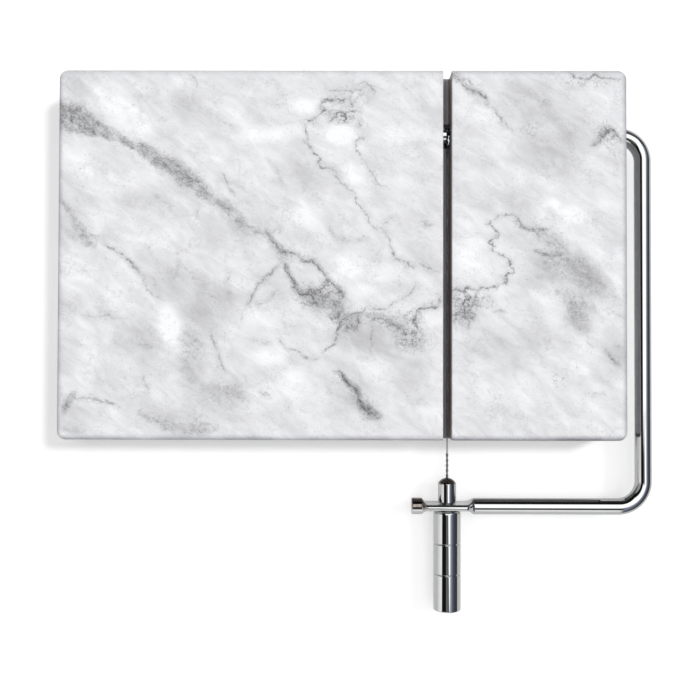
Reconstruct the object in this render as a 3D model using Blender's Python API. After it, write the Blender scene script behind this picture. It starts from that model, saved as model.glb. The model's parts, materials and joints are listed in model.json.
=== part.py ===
"""Cheese wire cutter: a marble board, and a bent-rod arm that swings a cutting wire into its slot.

Lengths are metres. +X is to the user's right, +Y away from the user and +Z up, with the feet's
undersides at z = 0. The pieces are laid out from the centre of the board's footprint, and one
empty then shifts them all, so that the middle of the whole cutter's outline is at the origin.
"""

import math

import bmesh
import bpy
from mathutils import Matrix, Vector

MM = 0.001

# Board: one slab, 8.5 in wide and 5.5 in deep
BOARD_WIDTH = 216.0 * MM
BOARD_DEPTH = 140.7 * MM
BOARD_THICKNESS = 19.0 * MM
CORNER_RADIUS = 3.4 * MM
EDGE_RADIUS = 1.2 * MM

# Slot for the wire, sawn from the front edge to the back edge
SLOT_X = 39.9 * MM
SLOT_WIDTH = 3.2 * MM
SLOT_DEPTH = 10.1 * MM
SLOT_EASING = 0.5 * MM

# Pivot bore, drilled from the right edge at mid-thickness, across the slot and on, blind
PIVOT_Y = 47.7 * MM
BORE_RADIUS = 4.75 * MM
BORE_END_X = 26.5 * MM
BUSHING_RADIUS = 4.65 * MM
BUSHING_BORE_RADIUS = 3.27 * MM
BUSHING_LENGTH = 10.5 * MM
BUSHING_RECESS = 1.2 * MM
BUSHING_CHAMFER = 0.3 * MM

# Feet
FOOT_RADIUS = 6.35 * MM
FOOT_HEIGHT = 3.0 * MM
FOOT_INSET = 16.0 * MM
FOOT_ROUNDING = 0.8 * MM
FOOT_TAPER = 1.0 * MM  # how much smaller the radius is at the tread

# Arm: a quarter-inch rod, bent twice and pressed flat into an eye near its tip
ROD_RADIUS = 3.175 * MM
BEND_RADIUS = 10.0 * MM
LEG_X = 116.9 * MM
REACH = 144.2 * MM
ARM_FLOAT = 0.9 * MM  # how far the arm has slid to the right, which takes its wire off the slot's middle
ROD_PIVOT_END_X = 28.0 * MM
ROD_TIP_X = 27.0 * MM
ROD_END_CHAMFER = 0.4 * MM
EYE_THICKNESS = 2.5 * MM
EYE_WIDTH = 11.7 * MM
EYE_LEFT_X = 32.7 * MM
EYE_RIGHT_X = 47.8 * MM
EYE_LEFT_TAPER = 2.0 * MM
EYE_RIGHT_TAPER = 3.5 * MM
EYE_HOLE_RADIUS = 3.2 * MM

# Wire, with a grooved ball barrel in a twisted loop at each end
WIRE_RADIUS = 0.24 * MM
TWIST_RADIUS = 0.27 * MM
TWIST_PITCH = 4.0 * MM
TWIST_RUNOUT = 1.5 * MM
REAR_TWIST_END = 7.0 * MM
FRONT_TWIST_START = 124.0 * MM
BALL_RADIUS = 1.3 * MM
BALL_LENGTH = 2.0 * MM
BALL_WAIST_RADIUS = 0.85 * MM
BALL_GROOVE_WIDTH = 0.7 * MM
BALL_CHAMFER = 0.2 * MM
BALL_CLEARANCE = 0.05 * MM
LOOP_RADIUS = 1.15 * MM
NOTCH_WIDTH = 1.3 * MM
POCKET_WIDTH = 2.5 * MM
POCKET_HALF_HEIGHT = 1.45 * MM
POCKET_FRONT = 0.4 * MM

# Tension bolt: a domed head and a hollow M6 x 1 shank
HEAD_RADIUS = 3.5 * MM
HEAD_LENGTH = 9.5 * MM
DOME_HEIGHT = 2.2 * MM
DOME_WALL = 2.2 * MM
WIRE_HOLE_RADIUS = 0.65 * MM
SHANK_BORE_RADIUS = 1.75 * MM
SHANK_LENGTH = 14.0 * MM
THREAD_PITCH = 1.0 * MM
THREAD_RADIUS = 3.0 * MM
THREAD_ROOT_RADIUS = 2.39 * MM
THREAD_UNDERCUT = 0.6 * MM
THREAD_LEAD_IN = 0.5 * MM
SHANK_CHAMFER = 0.3 * MM

# Handle: a turned cylinder with two grooves, tapped from its inner end
HANDLE_RADIUS = 5.25 * MM
HANDLE_LENGTH = 38.5 * MM
HANDLE_TOP_ROUNDING = 1.2 * MM
HANDLE_END_ROUNDING = 0.5 * MM
GROOVES = (12.75 * MM, 24.4 * MM)
GROOVE_WIDTH = 0.7 * MM
GROOVE_DEPTH = 0.4 * MM
TAPPING_RADIUS = 3.1 * MM
TAPPING_DEPTH = 18.0 * MM
COUNTERSINK = 0.4 * MM

SEAT_GAP = 0.2 * MM  # left between the eye and what bears on it
REST_GAP = 0.1 * MM  # left between the board and each foot
MERGE = 0.001 * MM  # vertices closer than this are one
DRILL_POINT = math.radians(59)  # half of a drill's point angle
PAST = 2.0 * MM  # how far a cutter runs past the surface that it cuts

# Straight faces that stand in for a full turn, or for a quarter turn of an edge
BORE_SEGMENTS = 36
ROD_SEGMENTS = 24
EYE_SEGMENTS = 32
WIRE_SEGMENTS = 8
BALL_SEGMENTS = 20
BOLT_SEGMENTS = 24
HANDLE_SEGMENTS = 36
FOOT_SEGMENTS = 24
CORNER_STEPS = 5
EDGE_STEPS = 3
DOME_STEPS = 5
BEND_STEPS = 8
TAPER_STEPS = 5
LOOP_STEPS = 12
TWIST_STEPS = 10
RUNOUT_STEPS = 4

WIRE_X = SLOT_X + ARM_FLOAT
AXIS_Z = FOOT_HEIGHT + BOARD_THICKNESS / 2
BOARD_TOP_Z = FOOT_HEIGHT + BOARD_THICKNESS
HEAD_SEAT = REACH - EYE_THICKNESS / 2 - SEAT_GAP
HANDLE_SEAT = REACH + EYE_THICKNESS / 2 + SEAT_GAP
DOME_INSIDE = HEAD_SEAT - HEAD_LENGTH + DOME_WALL
REAR_BALL = -(POCKET_FRONT + BALL_CLEARANCE + BALL_RADIUS)
FRONT_BALL = DOME_INSIDE + BALL_CLEARANCE + BALL_RADIUS

# The cutter's outline runs from the board's left edge to the leg, and from the handle's end to
# the board's back edge.
OUTLINE_X = (-BOARD_WIDTH / 2, LEG_X + ROD_RADIUS)
OUTLINE_Y = (PIVOT_Y - HANDLE_SEAT - HANDLE_LENGTH, BOARD_DEPTH / 2)

ALONG_X = (0, math.pi / 2, 0)  # turns a piece that was made along Z to point along +X
TOWARDS_USER = (math.pi / 2, 0, 0)  # and this one along -Y


def clear_scene():
    for existing in list(bpy.data.objects):
        bpy.data.objects.remove(existing)


def make_material(name, colour, roughness, metallic=0.0):
    material = bpy.data.materials.new(name)
    material.use_nodes = True
    shader = material.node_tree.nodes["Principled BSDF"]
    shader.inputs["Base Color"].default_value = (*colour, 1)
    shader.inputs["Roughness"].default_value = roughness
    shader.inputs["Metallic"].default_value = metallic
    return material


def add_empty(name, location, parent=None):
    empty = bpy.data.objects.new(name, None)
    bpy.context.scene.collection.objects.link(empty)
    empty.location = location
    empty.parent = parent
    return empty


def add_object(name, shape, material, parent, location=(0, 0, 0), rotation=(0, 0, 0)):
    """Turns a bmesh into an object, shaded smooth except where its faces meet at a clear angle."""
    mesh = bpy.data.meshes.new(name)
    bmesh.ops.recalc_face_normals(shape, faces=shape.faces)
    shape.to_mesh(mesh)
    shape.free()
    mesh.shade_smooth()
    mesh.set_sharp_from_angle(angle=math.radians(35))
    mesh.materials.append(material)
    made = bpy.data.objects.new(name, mesh)
    bpy.context.scene.collection.objects.link(made)
    made.parent = parent
    made.location = location
    made.rotation_euler = rotation
    return made


def cut(target, name, shape, location=(0, 0, 0), rotation=(0, 0, 0)):
    """Takes a shape out of a piece. The cutter shares the piece's parent, and stays hidden."""
    cutter = add_object(name, shape, None, target.parent, location, rotation)
    cutter.hide_render = True
    cutter.display_type = "WIRE"
    boolean = target.modifiers.new(name, "BOOLEAN")
    boolean.operation = "DIFFERENCE"
    boolean.solver = "EXACT"
    boolean.object = cutter


def skin(shape, lower, upper):
    """Joins two closed rings of vertices that are equally long."""
    for i in range(len(lower)):
        j = (i + 1) % len(lower)
        shape.faces.new((lower[i], lower[j], upper[j], upper[i]))


def loft(rings):
    """A solid skinned over closed rings of points, with flat ends."""
    shape = bmesh.new()
    placed = [[shape.verts.new(point) for point in ring] for ring in rings]
    for lower, upper in zip(placed, placed[1:]):
        skin(shape, lower, upper)
    shape.faces.new(placed[0])
    shape.faces.new(placed[-1])
    return shape


def circle(radius, height, segments):
    turns = (2 * math.pi * i / segments for i in range(segments))
    return [Vector((radius * math.cos(t), radius * math.sin(t), height)) for t in turns]


def turned(outline, segments):
    """A turned solid about Z from an outline of (radius, height) points.

    An outline whose two ends are on the axis makes a solid piece. Any other outline is closed
    back to its first point, and makes a piece with a hole through it.
    """
    shape = bmesh.new()
    placed = []
    for radius, height in outline:
        points = circle(radius, height, segments) if radius else [Vector((0, 0, height))]
        placed.append([shape.verts.new(point) for point in points])
    if outline[0][0]:
        placed.append(placed[0])
    for lower, upper in zip(placed, placed[1:]):
        if len(lower) == len(upper):
            skin(shape, lower, upper)
            continue
        pole, ring = (lower, upper) if len(lower) == 1 else (upper, lower)
        for i in range(segments):
            shape.faces.new((pole[0], ring[i], ring[(i + 1) % segments]))
    return shape


def arc(centre, radius, start, end, steps):
    """Points of an arc in a plane, with its angles in degrees."""
    points = []
    for i in range(steps + 1):
        angle = math.radians(start + (end - start) * i / steps)
        points.append((centre[0] + radius * math.cos(angle), centre[1] + radius * math.sin(angle)))
    return points


def box(low, high):
    shape = bmesh.new()
    bmesh.ops.create_cube(shape, size=1)
    size = [b - a for a, b in zip(low, high)]
    middle = [(a + b) / 2 for a, b in zip(low, high)]
    bmesh.ops.transform(shape, matrix=Matrix.LocRotScale(middle, None, size), verts=shape.verts)
    return shape


def vee(length, half_width):
    """A prism along Y whose V of 90 degrees points down, with its point half_width below z = 0."""
    top = half_width + PAST
    outline = ((0, -half_width), (top, PAST), (-top, PAST))
    return loft([[Vector((x, y, z)) for x, z in outline] for y in (-length / 2, length / 2)])


# Board ---------------------------------------------------------------------------------------


def board_outline(inset, z):
    """The board's plan outline, with round corners, drawn in by an inset."""
    radius = CORNER_RADIUS - inset
    x = BOARD_WIDTH / 2 - CORNER_RADIUS
    y = BOARD_DEPTH / 2 - CORNER_RADIUS
    corners = ((x, y, 0), (-x, y, 90), (-x, -y, 180), (x, -y, 270))
    points = []
    for corner_x, corner_y, start in corners:
        points += arc((corner_x, corner_y), radius, start, start + 90, CORNER_STEPS)
    return [Vector((x, y, z)) for x, y in points]


def board_slab():
    """The slab, with every long edge rounded over."""
    rings = []
    for centre, start, end in ((EDGE_RADIUS, -90, 0), (BOARD_THICKNESS - EDGE_RADIUS, 0, 90)):
        for reach, rise in arc((0, centre), EDGE_RADIUS, start, end, EDGE_STEPS):
            rings.append(board_outline(EDGE_RADIUS - reach, FOOT_HEIGHT + rise))
    return loft(rings)


def bore_cutter():
    """The bore's outline from its drilled point to its countersunk mouth, along +X."""
    point = BORE_RADIUS / math.tan(DRILL_POINT)
    mouth = BOARD_WIDTH / 2 - BORE_END_X
    flare = SLOT_EASING + PAST
    outline = [(0, -point), (BORE_RADIUS, 0), (BORE_RADIUS, mouth - SLOT_EASING)]
    outline += [(BORE_RADIUS + flare, mouth + PAST), (0, mouth + PAST)]
    return turned(outline, BORE_SEGMENTS)


def build_board(root, marble):
    board = add_object("marble_board", board_slab(), marble, root)
    half = SLOT_WIDTH / 2
    low = (-half, -BOARD_DEPTH / 2 - PAST, -SLOT_DEPTH)
    high = (half, BOARD_DEPTH / 2 + PAST, PAST)
    cut(board, "slot_cutter", box(low, high), (SLOT_X, 0, BOARD_TOP_Z))
    lips = vee(BOARD_DEPTH + 2 * PAST, half + SLOT_EASING)
    cut(board, "slot_lip_cutter", lips, (SLOT_X, 0, BOARD_TOP_Z))
    mouth_height = BOARD_TOP_Z - SLOT_DEPTH / 2 + PAST
    for side, tilt in (("front", math.pi / 2), ("back", -math.pi / 2)):
        mouth = vee(SLOT_DEPTH + 2 * PAST, half + SLOT_EASING)
        edge_y = -math.copysign(BOARD_DEPTH / 2, tilt)
        place = (SLOT_X, edge_y, mouth_height)
        cut(board, f"slot_{side}_mouth_cutter", mouth, place, (tilt, 0, 0))
    cut(board, "bore_cutter", bore_cutter(), (BORE_END_X, PIVOT_Y, AXIS_Z), ALONG_X)
    return board


def build_bushing(name, start_x, root, plastic):
    """A plain sleeve, pressed into the bore, that the rod turns in."""
    chamfer = BUSHING_CHAMFER
    outline = [
        (BUSHING_BORE_RADIUS, chamfer),
        (BUSHING_BORE_RADIUS + chamfer, 0),
        (BUSHING_RADIUS - chamfer, 0),
        (BUSHING_RADIUS, chamfer),
        (BUSHING_RADIUS, BUSHING_LENGTH - chamfer),
        (BUSHING_RADIUS - chamfer, BUSHING_LENGTH),
        (BUSHING_BORE_RADIUS + chamfer, BUSHING_LENGTH),
        (BUSHING_BORE_RADIUS, BUSHING_LENGTH - chamfer),
    ]
    place = (start_x, PIVOT_Y, AXIS_Z)
    return add_object(name, turned(outline, BORE_SEGMENTS), plastic, root, place, ALONG_X)


def build_feet(root, rubber):
    """Four stick-on bumpers, wider where they meet the board."""
    top = FOOT_HEIGHT - REST_GAP
    rounding = FOOT_ROUNDING
    outline = [(0, 0)]
    outline += arc((FOOT_RADIUS - FOOT_TAPER - rounding, rounding), rounding, -90, 0, EDGE_STEPS)
    outline += [(FOOT_RADIUS, top), (0, top)]
    x = BOARD_WIDTH / 2 - FOOT_INSET
    y = BOARD_DEPTH / 2 - FOOT_INSET
    places = {
        "foot_front_left": (-x, -y, 0),
        "foot_front_right": (x, -y, 0),
        "foot_rear_left": (-x, y, 0),
        "foot_rear_right": (x, y, 0),
    }
    for name, place in places.items():
        add_object(name, turned(outline, FOOT_SEGMENTS), rubber, root, place)


# Arm -----------------------------------------------------------------------------------------


def rod_section(flatness, size):
    """(across, up) points of the rod's section, from round (0) to pressed flat (1)."""
    half_thick = EYE_THICKNESS / 2
    core = EYE_WIDTH / 2 - half_thick
    points = []
    for i in range(ROD_SEGMENTS):
        angle = 2 * math.pi * i / ROD_SEGMENTS
        across, up = math.cos(angle), math.sin(angle)
        turn = math.atan2(abs(up), abs(across)) / (math.pi / 2)
        if turn < 0.5:
            flat = (half_thick, core * turn / 0.5)
        else:
            bend = (turn - 0.5) * math.pi
            flat = (half_thick * math.cos(bend), core + half_thick * math.sin(bend))
        pressed = (math.copysign(flat[0], across), math.copysign(flat[1], up))
        if abs(across) < 1e-9:
            pressed = (0, pressed[1])
        mixed = [
            (1 - flatness) * ROD_RADIUS * round_one + flatness * pressed_one
            for round_one, pressed_one in zip((across, up), pressed)
        ]
        points.append((mixed[0] * size, mixed[1] * size))
    return points


def rod_stations():
    """(place, direction, flatness, size) along the rod from its pivot end to its tip.

    The places are taken from the point where the pivot axis crosses the wire's line.
    """
    right, toward, left = Vector((1, 0, 0)), Vector((0, -1, 0)), Vector((-1, 0, 0))
    trimmed = 1 - ROD_END_CHAMFER / ROD_RADIUS
    start = ROD_PIVOT_END_X - WIRE_X
    leg = LEG_X - WIRE_X
    stations = [(Vector((start, 0, 0)), right, 0, trimmed)]
    stations.append((Vector((start + ROD_END_CHAMFER, 0, 0)), right, 0, 1))
    first = Vector((leg - BEND_RADIUS, -BEND_RADIUS, 0))
    second = Vector((leg - BEND_RADIUS, -REACH + BEND_RADIUS, 0))
    steps = BEND_STEPS
    for centre, outward, ahead in ((first, -toward, right), (second, right, toward)):
        for i in range(steps + 1):
            angle = math.pi / 2 * i / steps
            radial = outward * math.cos(angle) + ahead * math.sin(angle)
            direction = ahead * math.cos(angle) - outward * math.sin(angle)
            stations.append((centre + BEND_RADIUS * radial, direction, 0, 1))
    steps = TAPER_STEPS
    for x, taper, rising in (
        (EYE_RIGHT_X + EYE_RIGHT_TAPER, EYE_RIGHT_TAPER, True),
        (EYE_LEFT_X, EYE_LEFT_TAPER, False),
    ):
        for i in range(steps + 1):
            share = i / steps
            eased = share * share * (3 - 2 * share)
            place = Vector((x - WIRE_X - taper * share, -REACH, 0))
            stations.append((place, left, eased if rising else 1 - eased, 1))
    tip = ROD_TIP_X - WIRE_X
    stations.append((Vector((tip + ROD_END_CHAMFER, -REACH, 0)), left, 0, 1))
    stations.append((Vector((tip, -REACH, 0)), left, 0, trimmed))
    return stations


def build_arm(pivot, chrome):
    rings = []
    for place, direction, flatness, size in rod_stations():
        sideways = direction.cross(Vector((0, 0, 1)))
        section = rod_section(flatness, size)
        rings.append([place + sideways * a + Vector((0, 0, u)) for a, u in section])
    arm = add_object("cutting_arm", loft(rings), chrome, pivot)
    long_enough = ROD_RADIUS + PAST
    eye_outline = [(0, -long_enough), (EYE_HOLE_RADIUS, -long_enough)]
    eye_outline += [(EYE_HOLE_RADIUS, long_enough), (0, long_enough)]
    cut(arm, "eye_cutter", turned(eye_outline, EYE_SEGMENTS), (0, -REACH, 0), TOWARDS_USER)
    # A notch, open at the top, takes the wire, and behind it a wider pocket takes the rear ball.
    half = NOTCH_WIDTH / 2
    notch = box((-half, -long_enough, -half), (half, long_enough, long_enough))
    cut(arm, "wire_notch_cutter", notch)
    half = POCKET_WIDTH / 2
    low = (-half, POCKET_FRONT, -POCKET_HALF_HEIGHT)
    cut(arm, "ball_pocket_cutter", box(low, (half, long_enough, long_enough)))
    return arm


# Wire ----------------------------------------------------------------------------------------


def strand_point(reach, angle, radius):
    """A point of a strand that winds about the wire's line, at a distance in front of the pivot."""
    return Vector((radius * math.sin(angle), -reach, radius * math.cos(angle)))


def end_loop(ball, side):
    """The wire's loop round a ball, from below the wire's line to above it.

    side is 1 where the wire leaves the ball towards the user, and -1 where it leaves it backwards.
    """
    leaves = BALL_RADIUS + BALL_CLEARANCE
    distance = math.hypot(leaves, TWIST_RADIUS)
    touch = math.atan2(TWIST_RADIUS, leaves) + math.acos(LOOP_RADIUS / distance)
    steps = LOOP_STEPS
    points = []
    for i in range(steps + 1):
        angle = -touch - (2 * math.pi - 2 * touch) * i / steps
        along = side * LOOP_RADIUS * math.cos(angle)
        points.append(Vector((0, -(ball + along), LOOP_RADIUS * math.sin(angle))))
    return points


def twisted_end(ball, side, length):
    """(tail, standing): the two strands of a twisted end, each from the ball outwards.

    The standing strand then comes in to the wire's own line.
    """
    start = ball + side * (BALL_RADIUS + BALL_CLEARANCE)
    steps = math.ceil(TWIST_STEPS * length / TWIST_PITCH)
    tail, standing = [], []
    for i in range(steps + 1):
        reach = start + side * length * i / steps
        angle = 2 * math.pi * length / TWIST_PITCH * i / steps
        tail.append(strand_point(reach, angle + math.pi, TWIST_RADIUS))
        standing.append(strand_point(reach, angle, TWIST_RADIUS))
    steps = RUNOUT_STEPS
    for i in range(1, steps + 1):
        share = i / steps
        eased = share * share * (3 - 2 * share)
        reach = start + side * (length + TWIST_RUNOUT * share)
        turned_on = 2 * math.pi * (length + TWIST_RUNOUT * share) / TWIST_PITCH
        standing.append(strand_point(reach, turned_on, TWIST_RADIUS * (1 - eased)))
    return tail, standing


def wire_path():
    """The wire's whole line from its rear cut end, round both balls, to its front cut end."""
    leaves = BALL_RADIUS + BALL_CLEARANCE
    rear_length = REAR_TWIST_END - REAR_BALL - leaves
    rear_tail, rear_standing = twisted_end(REAR_BALL, 1, rear_length)
    front_length = FRONT_BALL - leaves - FRONT_TWIST_START
    front_tail, front_standing = twisted_end(FRONT_BALL, -1, front_length)
    path = rear_tail[::-1] + end_loop(REAR_BALL, 1) + rear_standing
    path += front_standing[::-1] + end_loop(FRONT_BALL, -1)[::-1] + front_tail
    return path


def tube(path, radius, segments):
    """A round solid along a line of points, whose rings turn no more than the line does."""
    directions = []
    for i in range(len(path)):
        before = path[max(i - 1, 0)]
        after = path[min(i + 1, len(path) - 1)]
        directions.append((after - before).normalized())
    across = directions[0].orthogonal().normalized()
    rings = []
    for i, (place, direction) in enumerate(zip(path, directions)):
        if i:
            across = directions[i - 1].rotation_difference(direction) @ across
        other = direction.cross(across)
        ring = circle(radius, 0, segments)
        rings.append([place + across * p.x + other * p.y for p in ring])
    return loft(rings)


def build_wire(pivot, steel):
    return add_object("cutting_wire", tube(wire_path(), WIRE_RADIUS, WIRE_SEGMENTS), steel, pivot)


def build_ball(name, reach, pivot, steel):
    """A short barrel across the wire, with a groove round its middle for the loop."""
    half = BALL_LENGTH / 2
    groove = BALL_GROOVE_WIDTH / 2
    chamfer = BALL_CHAMFER
    outline = [(0, -half), (BALL_RADIUS - chamfer, -half), (BALL_RADIUS, chamfer - half)]
    outline += [(BALL_RADIUS, -groove), (BALL_WAIST_RADIUS, -groove)]
    outline += [(radius, -height) for radius, height in outline[::-1]]
    return add_object(name, turned(outline, BALL_SEGMENTS), steel, pivot, (0, -reach, 0), ALONG_X)


# Bolt and handle -----------------------------------------------------------------------------


def thread_rings(shape, start, end, segments):
    """The outside of a right-hand thread from start to end along Z, made as rows that climb.

    It returns the plain ring of vertices at each end, where the thread runs out to its root.
    """
    profile = (
        (0, THREAD_ROOT_RADIUS),
        (1 / 4, THREAD_ROOT_RADIUS),
        (9 / 16, THREAD_RADIUS),
        (11 / 16, THREAD_RADIUS),
    )
    turns = math.ceil((end - start) / THREAD_PITCH) + 2
    ends = []
    for z in (start, end):
        ends.append([shape.verts.new(p) for p in circle(THREAD_ROOT_RADIUS, z, segments)])
    columns = []
    for i in range(segments + 1):
        column = []
        angle = 2 * math.pi * i / segments
        for turn in range(-1, turns):
            for share, radius in profile:
                z = start + (turn + share + i / segments - 1) * THREAD_PITCH
                if z <= start or z >= end:
                    column.append(ends[z >= end][i % segments])
                    continue
                place = (radius * math.cos(angle), radius * math.sin(angle), z)
                column.append(shape.verts.new(place))
        columns.append(column)
    for left, right in zip(columns, columns[1:]):
        for j in range(len(left) - 1):
            corners = []
            for vertex in (left[j], right[j], right[j + 1], left[j + 1]):
                if vertex not in corners:
                    corners.append(vertex)
            if len(corners) > 2:
                shape.faces.new(corners)
    return ends


def build_tension_bolt(pivot, chrome):
    """The bolt along Z: its domed head below z = 0, and its hollow threaded shank above."""
    segments = BOLT_SEGMENTS
    shape = bmesh.new()
    neck, root = thread_rings(shape, THREAD_UNDERCUT, SHANK_LENGTH - THREAD_LEAD_IN, segments)
    dome_radius = (HEAD_RADIUS**2 + DOME_HEIGHT**2) / (2 * DOME_HEIGHT)
    dome_centre = dome_radius - HEAD_LENGTH
    rim = math.degrees(math.asin(HEAD_RADIUS / dome_radius))
    hole = math.degrees(math.asin(WIRE_HOLE_RADIUS / dome_radius))
    dome = arc((0, dome_centre), dome_radius, rim - 90, hole - 90, DOME_STEPS)
    inside = DOME_WALL - HEAD_LENGTH
    outline = [(HEAD_RADIUS, 0)]
    outline += dome
    outline += [(WIRE_HOLE_RADIUS, inside), (SHANK_BORE_RADIUS, inside)]
    outline += [(SHANK_BORE_RADIUS, SHANK_LENGTH)]
    outline += [(THREAD_ROOT_RADIUS - SHANK_CHAMFER, SHANK_LENGTH)]
    collar = [shape.verts.new(point) for point in circle(THREAD_ROOT_RADIUS, 0, segments)]
    rings = [neck, collar]
    for radius, height in outline:
        rings.append([shape.verts.new(point) for point in circle(radius, height, segments)])
    rings.append(root)
    for lower, upper in zip(rings, rings[1:]):
        skin(shape, lower, upper)
    bmesh.ops.remove_doubles(shape, verts=shape.verts, dist=MERGE)
    place = (0, -HEAD_SEAT, 0)
    return add_object("tension_bolt", shape, chrome, pivot, place, TOWARDS_USER)


def build_handle(pivot, chrome):
    """The handle along Z, from the end that bears on the eye to the free end."""
    outer = HANDLE_RADIUS
    point = TAPPING_RADIUS / math.tan(DRILL_POINT)
    outline = [
        (0, TAPPING_DEPTH + point),
        (TAPPING_RADIUS, TAPPING_DEPTH),
        (TAPPING_RADIUS, COUNTERSINK),
        (TAPPING_RADIUS + COUNTERSINK, 0),
    ]
    rounding = HANDLE_TOP_ROUNDING
    outline += arc((outer - rounding, rounding), rounding, -90, 0, EDGE_STEPS)
    for groove in GROOVES:
        low, high = groove - GROOVE_WIDTH / 2, groove + GROOVE_WIDTH / 2
        floor = outer - GROOVE_DEPTH
        outline += [(outer, low), (floor, low), (floor, high), (outer, high)]
    rounding = HANDLE_END_ROUNDING
    outline += arc((outer - rounding, HANDLE_LENGTH - rounding), rounding, 0, 90, EDGE_STEPS)
    outline += [(0, HANDLE_LENGTH)]
    place = (0, -HANDLE_SEAT, 0)
    return add_object("handle", turned(outline, HANDLE_SEGMENTS), chrome, pivot, place, TOWARDS_USER)


def build_cutter():
    clear_scene()
    marble = make_material("white_marble", (0.80, 0.80, 0.83), 0.35)
    chrome = make_material("polished_chrome", (0.78, 0.78, 0.80), 0.06, 1.0)
    steel = make_material("wire_steel", (0.55, 0.54, 0.53), 0.3, 1.0)
    dark_steel = make_material("ball_steel", (0.16, 0.155, 0.15), 0.4, 1.0)
    plastic = make_material("black_nylon", (0.02, 0.02, 0.02), 0.5)
    rubber = make_material("clear_grey_rubber", (0.30, 0.30, 0.31), 0.6)

    shift = (-sum(OUTLINE_X) / 2, -sum(OUTLINE_Y) / 2, 0)
    root = add_empty("cutter_origin", shift)
    build_board(root, marble)
    outer_start = BOARD_WIDTH / 2 - BUSHING_RECESS - BUSHING_LENGTH
    build_bushing("outer_bushing", outer_start, root, plastic)
    inner_start = SLOT_X - SLOT_WIDTH / 2 - REST_GAP - BUSHING_LENGTH
    build_bushing("inner_bushing", inner_start, root, plastic)
    build_feet(root, rubber)

    pivot = add_empty("arm_pivot", (WIRE_X, PIVOT_Y, AXIS_Z), root)
    build_arm(pivot, chrome)
    build_wire(pivot, steel)
    build_ball("rear_wire_ball", REAR_BALL, pivot, dark_steel)
    build_ball("front_wire_ball", FRONT_BALL, pivot, dark_steel)
    build_tension_bolt(pivot, chrome)
    build_handle(pivot, chrome)


build_cutter()
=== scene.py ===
"""Looks of the cheese wire cutter: a veined marble board, a chromed arm, its wire and its handle.

Lengths are metres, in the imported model's frame: +X to the user's right, +Y away from the user, +Z up.
Places on the board are given in millimetres from the middle of its top.
"""

import json
import math

import bmesh
import bpy
import numpy as np
from mathutils import Matrix, Vector


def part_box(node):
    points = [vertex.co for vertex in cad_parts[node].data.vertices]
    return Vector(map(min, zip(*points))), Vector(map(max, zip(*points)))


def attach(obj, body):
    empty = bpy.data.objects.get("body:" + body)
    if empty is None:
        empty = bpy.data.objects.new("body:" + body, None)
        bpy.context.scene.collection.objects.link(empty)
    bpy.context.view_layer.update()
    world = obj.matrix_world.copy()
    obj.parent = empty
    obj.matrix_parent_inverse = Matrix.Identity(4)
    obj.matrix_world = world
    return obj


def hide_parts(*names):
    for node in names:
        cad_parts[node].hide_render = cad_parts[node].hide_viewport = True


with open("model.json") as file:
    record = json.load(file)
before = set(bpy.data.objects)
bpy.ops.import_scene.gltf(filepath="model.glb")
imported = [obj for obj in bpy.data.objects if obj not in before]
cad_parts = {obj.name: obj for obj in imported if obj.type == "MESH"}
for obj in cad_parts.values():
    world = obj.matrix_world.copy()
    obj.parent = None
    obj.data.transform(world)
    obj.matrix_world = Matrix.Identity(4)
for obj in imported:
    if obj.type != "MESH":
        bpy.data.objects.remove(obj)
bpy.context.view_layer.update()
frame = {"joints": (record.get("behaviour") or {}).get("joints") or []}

MM = 0.001

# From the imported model
JOINTS = {joint["name"]: joint for joint in frame["joints"]}
PIVOT = Vector(JOINTS["arm_swing"]["pos_m"])  # where the arm's axis crosses the slot
SEAT = Vector(JOINTS["handle_turn"]["pos_m"])  # the middle of the handle's inner end
BOARD_LOW, BOARD_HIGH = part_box("marble_board")
BOARD_MIDDLE = (BOARD_LOW + BOARD_HIGH) / 2
ARM_LOW, ARM_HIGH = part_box("cutting_arm")
BOLT_LOW, BOLT_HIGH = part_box("tension_bolt")
HANDLE_LOW, HANDLE_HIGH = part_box("handle")
FOOT_LOW, FOOT_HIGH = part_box("foot_front_left")
BALL_LOW, BALL_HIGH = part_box("rear_wire_ball")

# Board
CORNER_RADIUS = 3.4 * MM
EDGE_RADIUS = 1.2 * MM
SLOT_WIDTH = 3.2 * MM
SLOT_DEPTH = 10.1 * MM
SLOT_FLOOR_RADIUS = 0.4 * MM
SLOT_LIP_RADIUS = 0.5 * MM
BORE_RADIUS = 4.75 * MM
BORE_DEPTH = 81.5 * MM
SLOT_AT = (PIVOT.x - BOARD_MIDDLE.x) / MM  # the slot's place across the board, in millimetres
GRID = 1.2 * MM  # spacing of the board's surface mesh, which holds the veins

# Arm
ROD_RADIUS = 3.175 * MM
BEND_RADIUS = 10.0 * MM
ROD_END_RADIUS = 0.4 * MM
EYE_THICKNESS = 2.5 * MM
EYE_WIDTH = ARM_HIGH.z - ARM_LOW.z
EYE_LEFT = 8.1 * MM  # how far the flat runs past the handle's axis, towards the tip
EYE_RIGHT = 7.0 * MM
EYE_LEFT_TAPER = 2.0 * MM
EYE_RIGHT_TAPER = 3.5 * MM
EYE_HOLE_RADIUS = 3.2 * MM
SEAT_GAP = 0.2 * MM
REACH = PIVOT.y - SEAT.y - EYE_THICKNESS / 2 - SEAT_GAP
LEG_X = ARM_HIGH.x - ROD_RADIUS
PIVOT_END_X = PIVOT.x - 11.9 * MM
WIRE_PIVOT = Vector((SEAT.x, PIVOT.y, PIVOT.z))  # where the arm's axis crosses the wire's line

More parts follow.
